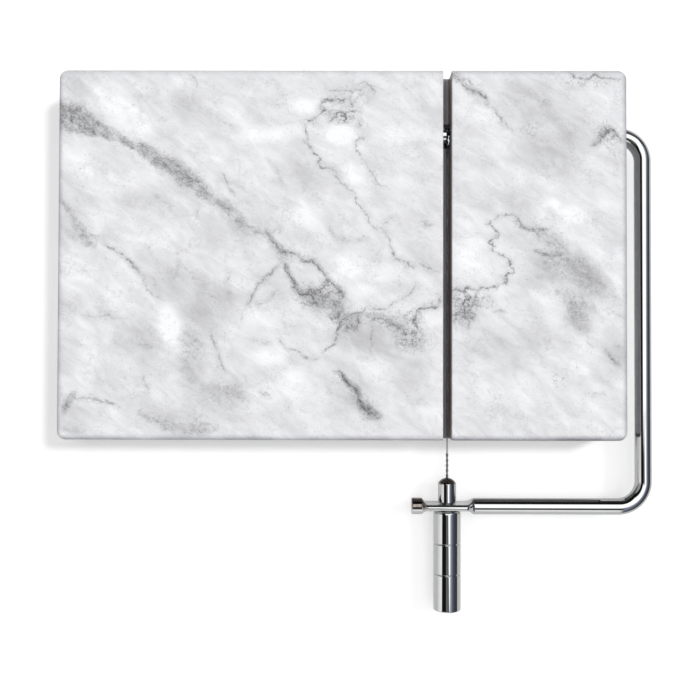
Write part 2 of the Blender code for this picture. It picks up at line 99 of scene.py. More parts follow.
# Wire and its two balls
WIRE_RADIUS = 0.24 * MM
TWIST_RADIUS = 0.27 * MM
TWIST_PITCH = 4.0 * MM
TWIST_RUNOUT = 1.5 * MM
REAR_TWIST_END = 7.0 * MM
FRONT_TWIST_START = 124.0 * MM
LOOP_RADIUS = 1.15 * MM
BALL_RADIUS = (BALL_HIGH.z - BALL_LOW.z) / 2
BALL_WAIST_RADIUS = 0.85 * MM
BALL_GROOVE_WIDTH = 0.7 * MM
BALL_GAP = 0.05 * MM
POCKET_FRONT = 0.4 * MM
POCKET_WIDTH = 2.5 * MM
POCKET_HALF_HEIGHT = 1.45 * MM
NOTCH_WIDTH = 1.3 * MM

# Tension bolt
HEAD_RADIUS = (BOLT_HIGH.x - BOLT_LOW.x) / 2
HEAD_LENGTH = 9.5 * MM
DOME_HEIGHT = 2.2 * MM
DOME_WALL = 2.2 * MM
WIRE_HOLE_RADIUS = 0.65 * MM
SHANK_BORE_RADIUS = 1.75 * MM
SHANK_LENGTH = 14.0 * MM
THREAD_PITCH = 1.0 * MM
THREAD_RADIUS = 3.0 * MM
THREAD_ROOT_RADIUS = 2.39 * MM
HEAD_SEAT = REACH - EYE_THICKNESS / 2 - SEAT_GAP

# Handle
HANDLE_RADIUS = (HANDLE_HIGH.x - HANDLE_LOW.x) / 2
HANDLE_LENGTH = HANDLE_HIGH.y - HANDLE_LOW.y
HANDLE_TOP_ROUNDING = 1.2 * MM
HANDLE_END_ROUNDING = 0.5 * MM
GROOVES = (12.75 * MM, 24.4 * MM)
GROOVE_WIDTH = 0.7 * MM
GROOVE_DEPTH = 0.4 * MM
GROOVE_LIP = 0.1 * MM
TAPPING_RADIUS = 3.1 * MM
TAPPING_DEPTH = 18.0 * MM
COUNTERSINK = 0.4 * MM

# Bushings and feet
BUSHING_RADIUS = 4.65 * MM
BUSHING_BORE_RADIUS = 3.27 * MM
BUSHING_CHAMFER = 0.3 * MM
FOOT_ROUNDING = 0.8 * MM
FOOT_TREAD_INSET = 1.0 * MM

DRILL_POINT = math.radians(59)  # half of a drill's point angle
PAST = 2.0 * MM  # how far a cutter runs past the surface that it cuts
ROUND = 96  # segments round a turned piece

REAR_BALL = -(POCKET_FRONT + BALL_GAP + BALL_RADIUS)  # each ball's distance in front of the pivot
FRONT_BALL = HEAD_SEAT - HEAD_LENGTH + DOME_WALL + BALL_GAP + BALL_RADIUS

# Veins, in millimetres from the middle of the board's top --------------------------------------

# Soft grey bands: (darkness, places along it as x, y, half width)
BANDS = (
    (1.0, ((-110, 53, 5.2), (-104, 52.5, 5), (-100, 51, 4.6), (-96, 48.5, 3.2), (-92, 47.2, 2.2),
          (-88, 45.8, 2))),
    (0.9, ((-88, 45.8, 2), (-84, 43.6, 1.4), (-80, 41.3, 0.9), (-77, 40.4, 1.9), (-73, 38, 2.2),
          (-70, 36, 2.3))),
    (0.8, ((-70, 36, 2.3), (-66, 34, 2.8), (-62, 31.5, 3.2), (-58, 28, 3.5), (-54.5, 25.2, 3.2),
          (-51, 22, 1.8))),
    (0.8, ((-51, 22, 1.8), (-49, 20, 1.2), (-46, 19.6, 1.5), (-43, 17.5, 1.6), (-40, 13.5, 2.1),
          (-38, 11, 1.9))),
    (0.65, ((-38, 11, 1.9), (-34, 9, 1.5), (-30, 8.6, 1.2), (-27, 5.5, 1.5), (-24, 2, 1.7),
          (-22, -1, 1.8))),
    (0.5, ((-22, -1, 1.5), (-18, -0.5, 1.5), (-14, -2.4, 1.6), (-10, -3, 1.2), (-7, -7, 0.8),
          (-5, -10, 0.8))),
    (0.7, ((-22, -3, 1), (-19, -9.5, 0.9), (-17, -12.5, 1.4), (-14, -15, 2.6), (-11, -16, 3.2),
          (-6, -18, 3), (-2, -19, 2))),
    (0.5, ((-5, -14, 2), (-1, -14, 2), (0, -19, 1.4), (-2, -23, 2.4), (4, -25, 3), (8, -22, 1))),
    (0.5, ((10, -23, 1), (15, -23.5, 1.6), (20, -27, 2), (24, -31, 4.5), (29, -32, 3.6))),
    (0.45, ((22, -27, 2), (27, -24, 2), (31, -20.5, 1.2), (37, -18, 2))),
    (0.42, ((41, -14, 1.4), (44, -16, 2.4), (46, -19, 2.6), (47, -23, 2), (50, -17, 1.4))),
    (0.35, ((-8, 56, 1.6), (-3, 52.5, 2), (3, 53, 1.8), (6, 50, 1.4))),
    (0.5, ((66, 12, 1), (71, 10, 1.6), (76, 7.5, 2.6), (80, 5, 3.4), (84, 1.5, 2.6), (87, -1, 1.5))),
    (0.55, ((73, 1.6, 0.6), (78, 0, 1), (82, 0, 1.3), (86, -2, 3), (90, -5, 4), (94, -8.5, 3.6),
          (98, -12, 2))),
    (0.4, ((78, -3, 2.4), (84, -6, 3), (90, -9, 4.4), (95, -13, 4), (100, -14.5, 3), (106, -17, 2))),
    (0.5, ((82, -14, 1.4), (86, -16, 2.4), (88, -20, 2.4), (90.5, -26, 2.8), (92, -29, 1.6))),
    (0.45, ((90, -16, 2), (93, -19, 2), (95, -21, 1.4))),
    (0.6, ((-107, 20, 0.6), (-104, 17, 0.8), (-101, 12, 1.2), (-99, 8.5, 1.8), (-96.5, 4.5, 1.6),
          (-94, 3, 0.8))),
    (0.35, ((-105, 8, 1), (-101, 6.5, 1.2), (-96, 6, 1.4), (-91, 6.5, 1.4), (-89, 4, 1))),
    (0.55, ((-82, -1.5, 0.5), (-80, -3, 0.9), (-77.5, -6, 1), (-76, -8, 0.6))),
    (0.55, ((-77, -60, 0.6), (-71, -63, 1.6), (-66, -65.2, 2.2), (-60, -66.5, 2.4), (-53, -66, 2.6),
          (-48, -66, 1.2))),
    (0.7, ((-105, -60, 0.9), (-104, -57, 1.2), (-101.5, -53.5, 1.1))),
    (0.4, ((-106, -65.8, 0.8), (-100.5, -67, 1.2), (-97, -67.4, 0.8))),
    (0.8, ((-1, -45, 0.8), (2, -48, 1.2), (5, -51.5, 2), (7, -55.5, 1.8), (10, -60, 2.4), (14, -61, 1.2))),
    (0.45, ((-29, 37, 0.5), (-26, 33.6, 0.5), (-24.2, 30.4, 0.9), (-22.6, 26, 0.6))),
    (0.4, ((-44, 0, 0.9), (-43.5, -5, 1.3), (-43.5, -10, 1.2), (-42.5, -15, 0.9))),
    (0.45, ((-66, -6, 0.6), (-63.4, -8.4, 1), (-62, -5, 0.8), (-62.5, 0.5, 0.7))),
    (0.35, ((-56, -7, 1.2), (-53, -12, 1.4), (-50, -15.5, 1.4), (-46, -17, 1.2))),
    (0.5, ((-77, -34.2, 0.8), (-75, -34.8, 1.6), (-72.5, -35.2, 1))),
    (0.35, ((-59, -31, 1.4), (-57.5, -37.5, 1.6), (-58, -46, 1.6), (-55, -48.5, 1.5), (-52, -52.3, 1.1))),
    (0.3, ((-47, -50, 3), (-44, -53, 3), (-41, -52, 2.4))),
    (0.3, ((-49.5, -30, 0.7), (-47, -37, 0.8), (-46, -42, 1.1), (-44, -45, 0.9))),
    (0.45, ((-34, -32.2, 0.7), (-30, -33.3, 1.1), (-27, -33.6, 0.6))),
    (0.6, ((-31, -52, 0.5), (-29.2, -53, 1), (-27, -54.4, 0.5))),
    (0.35, ((-36, -20, 0.8), (-34, -15, 1), (-31.5, -11.5, 1), (-27, -7.6, 1), (-24, -4, 1.1))),
    (0.25, ((-33, -19.5, 0.8), (-29, -17.6, 1.2), (-25, -14.2, 1))),
    (0.6, ((95, 41.5, 0.6), (98, 45, 1.4), (101, 47.5, 1.6), (103, 45.5, 1.4), (106, 43.3, 1.4))),
    (0.45, ((100, -36, 0.7), (102.5, -39, 1.2), (104.5, -41.6, 1))),
    (0.55, ((75, 58.4, 0.5), (77, 57.8, 1.1), (79.4, 56.8, 0.5))),
    (0.25, ((64, 65, 1.6), (68, 64, 1.6), (72, 62, 1.2))),
    (0.3, ((69, 49, 1.6), (71.5, 46, 1.4), (75, 49.5, 1.2))),
    (0.55, ((42, 68, 1.8), (45, 65.5, 1.3), (49, 62.5, 1.2), (53, 60.7, 1.1), (55, 57, 0.7))),
    (0.3, ((56.5, 56, 0.6), (59, 53, 0.9), (62, 49.3, 0.8))),
    (0.2, ((-90, 23, 1.6), (-85, 21.6, 1.6), (-79, 19.6, 1.6), (-74, 19, 1.6), (-68, 20.4, 1.4),
          (-63, 18.8, 1))),
    (0.25, ((-62, 57.5, 2), (-59, 57, 2), (-57, 59, 1.6))),
    (0.3, ((-60, 39, 0.6), (-57, 38.3, 0.8), (-54.5, 38.6, 0.4))),
    (0.25, ((-51, 45.4, 0.6), (-48, 44.2, 0.8), (-45, 42.8, 0.5))),
    (0.3, ((-30, 20, 0.6), (-26.5, 18, 0.9), (-21, 16.8, 0.6))),
    (0.5, ((-5, 10, 0.8), (-2.6, 7, 1.1), (1, 5.4, 1.2), (6, 5.4, 1.0), (10, 6, 0.6))),
    (0.4, ((30.2, 13, 0.5), (32, 11.8, 0.6), (35, 11.6, 0.4))),
    (0.3, ((-86, -33, 1.4), (-84.5, -30, 1.4))),
    (0.3, ((-92, -34.5, 0.8), (-90.5, -37, 0.9), (-89, -40.6, 0.6))),
    (0.3, ((83, -46.6, 1.2), (80.5, -44, 0.8))),
    (0.3, ((86, 47, 0.5), (87, 43, 0.7), (87.4, 39, 0.4))),
    (0.35, ((72.5, -7, 0.6), (74, -8.6, 0.8), (75.5, -9, 0.4))),
)

# Fine dark cracks: (strength, half width, places along it)
CRACKS = (
    (0.85, 0.3, ((-16, 50.6), (-11.5, 51), (-9.5, 53), (-6.5, 54), (-8.5, 57), (-7, 59), (-1, 58.6),
          (2, 59.5))),
    (0.8, 0.32, ((-15, 50), (-13.6, 45), (-12.6, 42), (-11.4, 39.6), (-9, 37), (-8.4, 33.4), (-5.5, 33),
          (-3, 31.4))),
    (0.7, 0.34, ((-15, 43.6), (-13.4, 42), (-11.6, 41))),
    (0.6, 0.32, ((-3, 31.4), (0, 27), (4.5, 22.8), (5, 20), (8, 17.4), (9.6, 14), (12, 10.6), (15, 10.2))),
    (0.8, 0.36, ((15, 10.2), (16, 8), (18, 5.4), (18.8, 2), (20, -1), (23, -2), (26, -4), (27, -6))),
    (0.7, 0.34, ((29.5, -4), (32.5, -5), (36.5, -7))),
    (0.55, 0.3, ((9, 45.4), (5.4, 43), (5.2, 40), (7, 37), (10, 33), (13.6, 27.4), (17.5, 25))),
    (0.9, 0.36, ((-5, 50.4), (-2, 51.4), (1.6, 50.6), (1, 52.4), (-2.4, 53), (-0.4, 54.2), (4, 54),
          (7.2, 54.6))),
    (0.85, 0.34, ((3, 59), (3.8, 55.4))),
    (0.5, 0.28, ((-5, 62), (0, 62.4), (6, 62.4), (10, 64), (15, 63))),
    (0.65, 0.3, ((6, 64.4), (8.6, 66), (9.4, 64.4), (12, 62.6), (11.2, 60))),
    (0.5, 0.28, ((4, 49), (6.6, 48.6), (6, 51))),
    (0.5, 0.28, ((15.6, 10.6), (17.6, 12.6), (19, 14))),
    (0.9, 0.42, ((-22, -3.4), (-19.4, -9), (-17.6, -12), (-15.6, -14.4), (-12, -16), (-10, -18),
          (-9, -20.4))),
    (0.8, 0.4, ((-11.6, -12.6), (-9, -13.6), (-6.4, -10.6), (-5, -10), (-2.6, -13), (0.4, -14.6),
          (-1.4, -17))),
    (0.75, 0.36, ((-24, 0.6), (-19, 0.6), (-15, -2.6), (-11.4, -2.6), (-9, -5), (-6.6, -8), (-5, -10))),
    (0.7, 0.34, ((-24, -4), (-27, -7.4), (-31.6, -11.6), (-34, -15.4), (-35.4, -19.4))),
    (0.45, 0.34, ((-24.4, -14), (-28.6, -17.4), (-32.6, -19.6))),
    (0.55, 0.32, ((28, -10.6), (26, -14), (22, -17), (17, -20), (11, -20.6))),
    (0.85, 0.34, ((9, -20), (4.4, -23), (0.4, -24.6), (-1.4, -27.4), (-2, -30), (-1.6, -32),
          (-4.4, -35.4), (-7.6, -37))),
    (0.8, 0.34, ((-2, -29), (1, -26.4), (2.6, -28.6), (5, -28), (6, -25.4), (5.4, -23))),
    (0.75, 0.34, ((-5, -22), (-3.6, -24.6), (-0.6, -22), (0, -19.4))),
    (0.6, 0.3, ((10.4, -26), (11.6, -24.4), (14, -24), (17, -25.4), (20.6, -27.4), (23.4, -29.4))),
    (0.6, 0.3, ((11, -26.5), (11.3, -31), (10.8, -37.6))),
    (0.9, 0.34, ((37.6, -19.4), (35, -20.4), (31, -20.2), (28.6, -20.6), (27, -23), (27.6, -26),
          (29, -29.4))),
    (0.6, 0.32, ((35, -15), (37, -16.4), (36, -19.4))),
    (1.0, 0.42, ((41.4, -14.8), (43, -13.4), (46, -13.6), (48, -12.6), (51, -13.6), (54, -12.6),
          (57, -12.2), (60, -11))),
    (1.0, 0.42, ((60, -11), (62, -10.4), (61.2, -8.8), (63, -7.2), (64.8, -6), (62.6, -4.2), (63.4, -2),
          (61.4, -0.6), (58, 0.6))),
    (0.95, 0.4, ((58, 0.6), (56.6, 2), (58, 3.6), (55.6, 4.8), (57.4, 6), (58.8, 6.9), (57.8, 9.6),
          (55, 11.4), (57, 12.8))),
    (0.75, 0.32, ((57, 12.8), (59.6, 14.4), (64, 14.8), (66.4, 13), (68.6, 10.6), (73, 10), (79, 10))),
    (0.95, 0.42, ((41.4, -22.6), (44.4, -22.8), (45, -19.6), (46, -17.4), (48.4, -16.6), (47, -14.4))),
    (0.8, 0.36, ((46, -20), (44, -25.6), (46.6, -23.6), (49, -24.4), (48.6, -20.6), (51, -17),
          (50.6, -14))),
    (0.8, 0.34, ((42, -18), (44.4, -18.4), (46.6, -20.8), (46, -23), (48, -26), (47.4, -28))),
    (0.7, 0.32, ((43, -27.6), (42.6, -25), (44.6, -22.4), (47.6, -21.6), (49.6, -19.2), (53, -19.4))),
    (0.6, 0.32, ((57, -21.6), (60, -21), (62, -22.4))),
    (0.65, 0.32, ((-46.4, 31), (-44.4, 27.6), (-42.6, 24.6), (-40.6, 22))),
    (0.8, 0.34, ((-29, 9.6), (-27.6, 8), (-26.4, 5), (-25, 3.6), (-23.4, 0.6))),
    (0.6, 0.34, ((-26, 8), (-24, 9.4), (-23.6, 7.4))),
    (0.85, 0.36, ((41.6, 68.6), (44, 67), (45.4, 64.6), (49, 62.4), (53.6, 60.4), (55.6, 57.4))),
    (0.5, 0.32, ((56.4, 56), (58.6, 54), (61, 50.6), (64.6, 47.4))),
    (0.6, 0.32, ((43, 66), (47, 66.6), (50, 64.6))),
    (0.55, 0.32, ((-25, -32), (-21, -35), (-17, -37), (-12, -39.4), (-8.6, -39.4))),
    (0.9, 0.42, ((-3.6, -43.6), (-0.6, -45.4), (2, -48.6), (5, -50.6), (6, -53.4), (7.6, -56.6),
          (9.6, -60), (13, -60.6))),
    (0.5, 0.3, ((8.6, -55), (11.6, -58), (15.6, -61.6))),
    (0.5, 0.32, ((-50, -29), (-48.4, -33.6), (-46.6, -38), (-46, -41.4), (-44, -44.6))),
    (0.7, 0.4, ((-91, 4), (-86, 1.6), (-82, -1.4), (-79, -4.6), (-77, -7))),
    (0.35, 0.34, ((-75.4, -8.4), (-74.6, -12), (-71.6, -15), (-66, -17.6))),
    (0.7, 0.36, ((-101, -54.4), (-97, -54.2), (-92, -55.4), (-88, -56), (-84, -57.6))),
    (0.6, 0.3, ((-105, -59), (-103.6, -56), (-102, -52.6))),
    (0.3, 0.4, ((-98, -23.6), (-90, -23.4), (-84.6, -24.6), (-80, -24))),
    (0.8, 0.34, ((86, 69), (89.6, 67), (93.6, 67.4), (96, 68.4), (98, 67.2), (102, 67), (105.6, 66.8))),
    (0.75, 0.34, ((94.6, 41.4), (97.6, 42.6), (98.6, 45), (101, 46.4), (99.6, 49), (103, 47.4),
          (106, 42.8))),
    (0.45, 0.3, ((99.6, 42), (103.6, 38))),
    (0.6, 0.32, ((99.6, -36), (101.4, -38.6), (104.6, -41.6))),
    (0.5, 0.3, ((92, -32), (95, -35.4))),
    (0.55, 0.3, ((103.4, -22.4), (106.4, -24.4))),
    (0.4, 0.3, ((103, -33.4), (106, -35.4))),
    (0.5, 0.3, ((95, -52), (100, -52.8))),
    (0.55, 0.34, ((-75.6, -46), (-73.6, -49.4), (-72.4, -52.4))),
    (0.7, 0.34, ((30.6, 12.8), (32, 11.4), (34, 11.4))),
    (0.5, 0.3, ((-38.4, -22), (-37.6, -25.6))),
    (0.45, 0.3, ((-57.6, 69), (-56, 66.6), (-55.2, 63.4))),
    (0.45, 0.3, ((-107, 20.6), (-105.4, 17.4), (-103, 16))),
    (0.4, 0.3, ((-71.6, 22), (-69, 20.4), (-65, 19))),
    (0.4, 0.34, ((-56, 13), (-55, 16), (-54, 17))),
    (0.4, 0.3, ((-60.6, -4), (-57, -8), (-54.6, -9.4))),
    (0.8, 0.36, ((72, 1.8), (76, 0.4), (80, -0.6), (83, 0.6))),
    (0.45, 0.3, ((71, 10.6), (76, 6.4), (80, 3.4))),
    (0.35, 0.3, ((74, 10.6), (80, 6), (85, 1.6))),
    (0.35, 0.3, ((-38, -46), (-35, -49.6))),
)

# Patches where fine cracks make a net: (strength, x, y, half length, half width, turn in degrees)
NETS = (
    (1.0, -12, -16, 8, 4.6, -25),
    (0.8, -5, -13, 5, 5, 0),
    (0.9, -2, -22, 6, 4, -40),
    (0.9, 3, -26, 5, 4, 15),
    (0.8, 17, -25, 7, 3, -25),
    (1.0, 26, -32, 6, 5, -20),
    (0.7, 26, -24, 5, 5, 0),
    (1.0, 46.5, -19, 4.6, 6.4, 0),
    (0.7, 54, -18, 4, 3, 0),
    (0.9, 0, 52, 5, 2.6, 0),
    (0.5, 3, 60, 8, 4, 0),
    (0.4, 84, -4, 12, 5, -35),
    (0.4, 88, -20, 5, 8, 20),
    (0.8, -101, 51, 8, 4.6, -20),
    (0.5, -60, 30, 11, 3.6, -38),
    (0.5, -73, 37.6, 5, 2, -35),
    (0.8, 100, 45, 5, 4, -20),
    (0.6, 8, -56, 6, 3, -50),
    (0.5, -44, -52, 7, 4, 0),
    (0.4, -57, -34, 5, 9, 0),
    (0.5, -53, -64, 5, 4, 0),
    (0.5, -15, -1.6, 6, 2, -15),
    (0.5, -98, 7, 6, 3, -20),
    (0.4, 72, 48, 5, 4, 0),
    (0.4, 94, 66, 10, 3, 0),
    (0.4, 82, -47, 4, 4, 0),
)

# Bright clouds: (strength, x, y, half length, half width, turn in degrees)
CLOUDS = (
    (0.9, -85, 56, 9, 6, -30),
    (0.8, -76, 49, 6, 4, -25),
    (0.6, -91, 62, 5, 4, 0),
    (0.9, -28, 46, 12, 3.4, 4),
    (0.7, -15, 56, 8, 2.4, 6),
    (1.2, -1, 45.6, 6, 4, 0),
    (0.8, 5, 31, 5, 4, -20),
    (1.0, 4, -4, 7, 5, -10),
    (0.8, 15, -7, 7, 3.6, -15),
    (0.5, 8, -13, 6, 3, 0),
    (1.3, -65.5, -27, 4, 8, 0),
    (0.6, -65, -38, 4, 3, 0),
    (0.9, -27.5, -39, 6, 3.4, 0),
    (0.6, -17, -46, 4, 4, 0),
    (0.5, -24, -52, 12, 6, 20),
    (0.7, 49, -2, 7, 8, 0),
    (0.4, 56, -6, 5, 3, 0),
    (0.8, 79, 19.6, 4, 2.4, -15),
    (1.0, 87.5, 15.4, 6, 3, -15),
    (0.6, 66, 31, 5, 2.4, -40),
    (0.7, 34, 62, 3, 6, 10),
    (0.6, 22, 46, 7, 4, 0),
    (0.6, 54, 53, 5, 3, -30),
    (0.5, 45, 57, 3, 5, 0),
    (0.5, -99, -5, 8, 8, 0),
    (0.5, -87, -15, 5, 5, 0),
    (0.5, -97, -42, 5, 9, 0),
    (0.4, -99, 34, 6, 6, 0),
    (0.4, -91, 15, 5, 5, 0),
    (0.4, 96, -58, 4, 8, 0),
    (0.4, -77, 29, 5, 4, 0),
    (0.5, -68, 6, 6, 4, 0),
    (0.5, -30, -24, 8, 4, 0),
    (0.4, 90, -43, 4, 4, 0),
    (0.4, -12, 16, 6, 5, 0),
)

# Duller, greyer ground: (strength, x, y, half length, half width, turn in degrees)
SHADES = (
    (1.0, -50, -18, 9, 10, 0),
    (0.8, -56, -40, 5, 16, 0),
    (1.0, -46, -52, 11, 7, 0),
    (0.7, -65, -12, 9, 6, -20),
    (0.5, -74, -38, 5, 6, 0),
    (0.6, -80, -33, 10, 6, 0),
    (0.6, -75, 19, 14, 5, -8),
    (0.5, -60, 58, 6, 6, 0),
    (0.9, 8, -31, 12, 7, -10),
    (0.8, 22, -33, 9, 8, 0),
    (0.5, 26, -46, 9, 8, 0),
    (0.7, -6, -18, 9, 7, -20),
    (0.6, 72, 58, 13, 11, 0),
    (0.6, 80, 40, 14, 9, 0),
    (0.5, 66, 18, 9, 5, 0),
    (0.7, 76, -6, 7, 6, 0),
    (0.9, 92, -8, 10, 6, -40),
    (0.5, 84, -4, 7, 4, -40),
    (0.8, 89, -23, 5, 8, 15),
    (0.4, 62, -36, 20, 10, 0),
    (0.4, 60, 20, 8, 5, 0),
    (0.5, -104, 10, 5, 8, 0),
    (0.4, -17, 28, 12, 8, 0),
    (0.4, -40, 8, 10, 6, 0),
    (0.5, -100, -62, 8, 5, 0),
    (0.5, -60, -62, 14, 5, -10),
    (0.4, -100, 64, 6, 6, 0),
    (0.4, 8, -55, 9, 7, -45),
    (0.5, 46, -24, 6, 6, 0),
    (0.4, 102, -38, 5, 8, 0),
)


# Mesh helpers ---------------------------------------------------------------------------------


def shade(mesh):
    """Shades a mesh smooth except where its faces meet at a clear angle."""
    mesh.shade_smooth()
    mesh.set_sharp_from_angle(angle=math.radians(35))


def add_piece(name, shape, material=None):
    """Turns a bmesh into an object."""
    mesh = bpy.data.meshes.new(name)
    bmesh.ops.recalc_face_normals(shape, faces=shape.faces)
    shape.to_mesh(mesh)
    shape.free()
    shade(mesh)
    if material:
        mesh.materials.append(material)
    made = bpy.data.objects.new(name, mesh)
    bpy.context.scene.collection.objects.link(made)
    return made


def hand_in(piece, body, node):
    """Rides a finished piece on its body, in place of the plain node that it stands for."""
    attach(piece, body)
    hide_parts(node)


def placed(shape, place, turn=(0, 0, 0)):
    """Moves a bmesh from its own axes into the frame."""
    rotation = Matrix.Rotation(turn[2], 4, "Z") @ Matrix.Rotation(turn[1], 4, "Y")
    rotation = rotation @ Matrix.Rotation(turn[0], 4, "X")
    bmesh.ops.transform(shape, matrix=Matrix.Translation(place) @ rotation, verts=shape.verts)
    return shape


ALONG_X = (0, math.pi / 2, 0)  # turns a shape that was made along Z to point along +X
TOWARDS_USER = (math.pi / 2, 0, 0)  # and this one along -Y


def skin(shape, lower, upper):
    """Joins two closed rings of as many vertices with a band of faces."""
    for i in range(len(lower)):
        j = (i + 1) % len(lower)
        shape.faces.new((lower[i], lower[j], upper[j], upper[i]))


def loft(rings):
    """A solid skinned over closed rings of points, with flat ends."""
    shape = bmesh.new()
    rows = [[shape.verts.new(point) for point in ring] for ring in rings]
    for lower, upper in zip(rows, rows[1:]):
        skin(shape, lower, upper)
    shape.faces.new(rows[0])
    shape.faces.new(rows[-1])
    return shape


def circle(radius, height, segments):
    """Points round the Z axis."""
    turns = (2 * math.pi * i / segments for i in range(segments))
    return [Vector((radius * math.cos(t), radius * math.sin(t), height)) for t in turns]


def braced(outline):
    """The outline with a point put close to each end of its long straights, to keep their shading."""
    closest, long_enough = 0.06 * MM, 0.5 * MM
    points = [outline[0]]
    for start, end in zip(outline, outline[1:]):
        length = math.dist(start, end)
        if length > long_enough:
            for share in (closest / length, 1 - closest / length):
                points.append(tuple(a + (b - a) * share for a, b in zip(start, end)))
        points.append(end)
    return points


def turned(outline, segments=ROUND):
    """A turned solid about Z. An outline that doesn't end on the axis closes into a sleeve."""
    shape = bmesh.new()
    rows = []
    for radius, height in braced(outline):
        points = circle(radius, height, segments) if radius else [Vector((0, 0, height))]
        rows.append([shape.verts.new(point) for point in points])
    if outline[0][0]:
        rows.append(rows[0])
    for lower, upper in zip(rows, rows[1:]):
        if len(lower) == len(upper):
            skin(shape, lower, upper)
            continue
        pole, ring = (lower, upper) if len(lower) == 1 else (upper, lower)
        for i in range(segments):
            shape.faces.new((pole[0], ring[i], ring[(i + 1) % segments]))
    return shape


def arc(centre, radius, start, end, steps):
    """Points of an arc in a plane, with its angles in degrees."""
    points = []
    for i in range(steps + 1):
        angle = math.radians(start + (end - start) * i / steps)
        points.append((centre[0] + radius * math.cos(angle), centre[1] + radius * math.sin(angle)))
    return points


def box(low, high):
    """A plain block, which is only ever used to cut with."""
    shape = bmesh.new()
    bmesh.ops.create_cube(shape, size=1)
    size = [b - a for a, b in zip(low, high)]
    middle = [(a + b) / 2 for a, b in zip(low, high)]
    bmesh.ops.transform(shape, matrix=Matrix.LocRotScale(middle, None, size), verts=shape.verts)
    return shape


def cut_away(target, shapes):
    """Takes each shape out of a piece for good."""
    for shape in shapes:
        cutter = add_piece("cutter", shape)
        boolean = target.modifiers.new("cut", "BOOLEAN")
        boolean.operation = "DIFFERENCE"
        boolean.solver = "EXACT"
        boolean.object = cutter
        graph = bpy.context.evaluated_depsgraph_get()
        result = bpy.data.meshes.new_from_object(target.evaluated_get(graph))
        target.modifiers.clear()
        target.data = result
        bpy.data.objects.remove(cutter)


def smooth_step(share):
    """Eases shares from 0 to 1, and holds what lies outside at either end."""
    share = np.clip(share, 0, 1)
    return share * share * (3 - 2 * share)


# Shader helpers -------------------------------------------------------------------------------


class Graph:
    """Adds nodes to a shader tree. Inputs are sockets or plain values, and None keeps a default."""

    def __init__(self, tree):
        self.tree = tree

    def node(self, kind, *inputs, named=None, **settings):
        made = self.tree.nodes.new("ShaderNode" + kind)
        for name, value in settings.items():
            setattr(made, name, value)
        for socket, value in list(zip(made.inputs, inputs)):
            self.feed(socket, value)
        for name, value in (named or {}).items():
            self.feed(made.inputs[name], value)
        return made

    def feed(self, socket, value):
        if isinstance(value, bpy.types.NodeSocket):
            self.tree.links.new(value, socket)
        elif value is not None:
            socket.default_value = value

    def math(self, operation, a, b=None, clamp=False):
        return self.node("Math", a, b, operation=operation, use_clamp=clamp).outputs[0]

    def add(self, a, b):
        return self.math("ADD", a, b)

    def times(self, a, b):
        return self.math("MULTIPLY", a, b)

    def vector(self, operation, a, b):
        return self.node("VectorMath", a, b, operation=operation).outputs[0]

    def parts(self, vector):
        return self.node("SeparateXYZ", vector).outputs

    def ramp(self, value, start, end, low=0.0, high=1.0):
        """A smooth step from low, where value is start, to high, where it is end."""
        made = self.node("MapRange", value, start, end, low, high, interpolation_type="SMOOTHSTEP")
        return made.outputs[0]

    def within(self, value, start, full, fading, end):
        """1 where value is between full and fading, easing to 0 at start and at end."""
        return self.times(self.ramp(value, start, full), self.ramp(value, fading, end, 1.0, 0.0))

    def mix(self, share, a, b, blend="MIX"):
        """A blend of two colours."""
        made = self.node("Mix", data_type="RGBA", blend_type=blend, clamp_factor=True)
        for socket, value in zip((made.inputs[0], made.inputs[6], made.inputs[7]), (share, a, b)):
            self.feed(socket, value)
        return made.outputs[2]

    def noise(self, place, size, detail=2.0, roughness=0.5, distortion=0.0):
        """Noise about 0.5 whose blobs are about size millimetres across, at a place in millimetres."""
        named = {
            "Vector": place,
            "Scale": 1 / size,
            "Detail": detail,
            "Roughness": roughness,
            "Distortion": distortion,
        }
        return self.node("TexNoise", named=named, noise_dimensions="3D").outputs[0]

    def millimetres(self, origin):
        """The place on the piece at rest, in millimetres from a point of the frame."""
        place = self.node("TexCoord").outputs["Object"]
        place = self.vector("SUBTRACT", place, tuple(origin))
        return self.vector("MULTIPLY", place, (1 / MM,) * 3)


class Material(Graph):
    """A new material, and the graph that feeds its shader."""

    def __init__(self, name, metallic=0.0):
        self.material = bpy.data.materials.new(name)
        self.material.use_nodes = True
        super().__init__(self.material.node_tree)
        self.shader = self.tree.nodes["Principled BSDF"]
        self.shader.inputs["Metallic"].default_value = metallic

    def finish(self, base, roughness, relief, depth, strength):
        """Sets the colour, the roughness and a bump, with depth as the relief's full range in metres."""
        normal = self.node("Bump", strength, depth, named={"Height": relief}).outputs[0]
        for name, value in (("Base Color", base), ("Roughness", roughness), ("Normal", normal)):
            self.feed(self.shader.inputs[name], value)
        return self.material


def colour(red, green, blue):
    return (red, green, blue, 1.0)


def grey(level):
    return colour(level, level, level)


# Marble ---------------------------------------------------------------------------------------


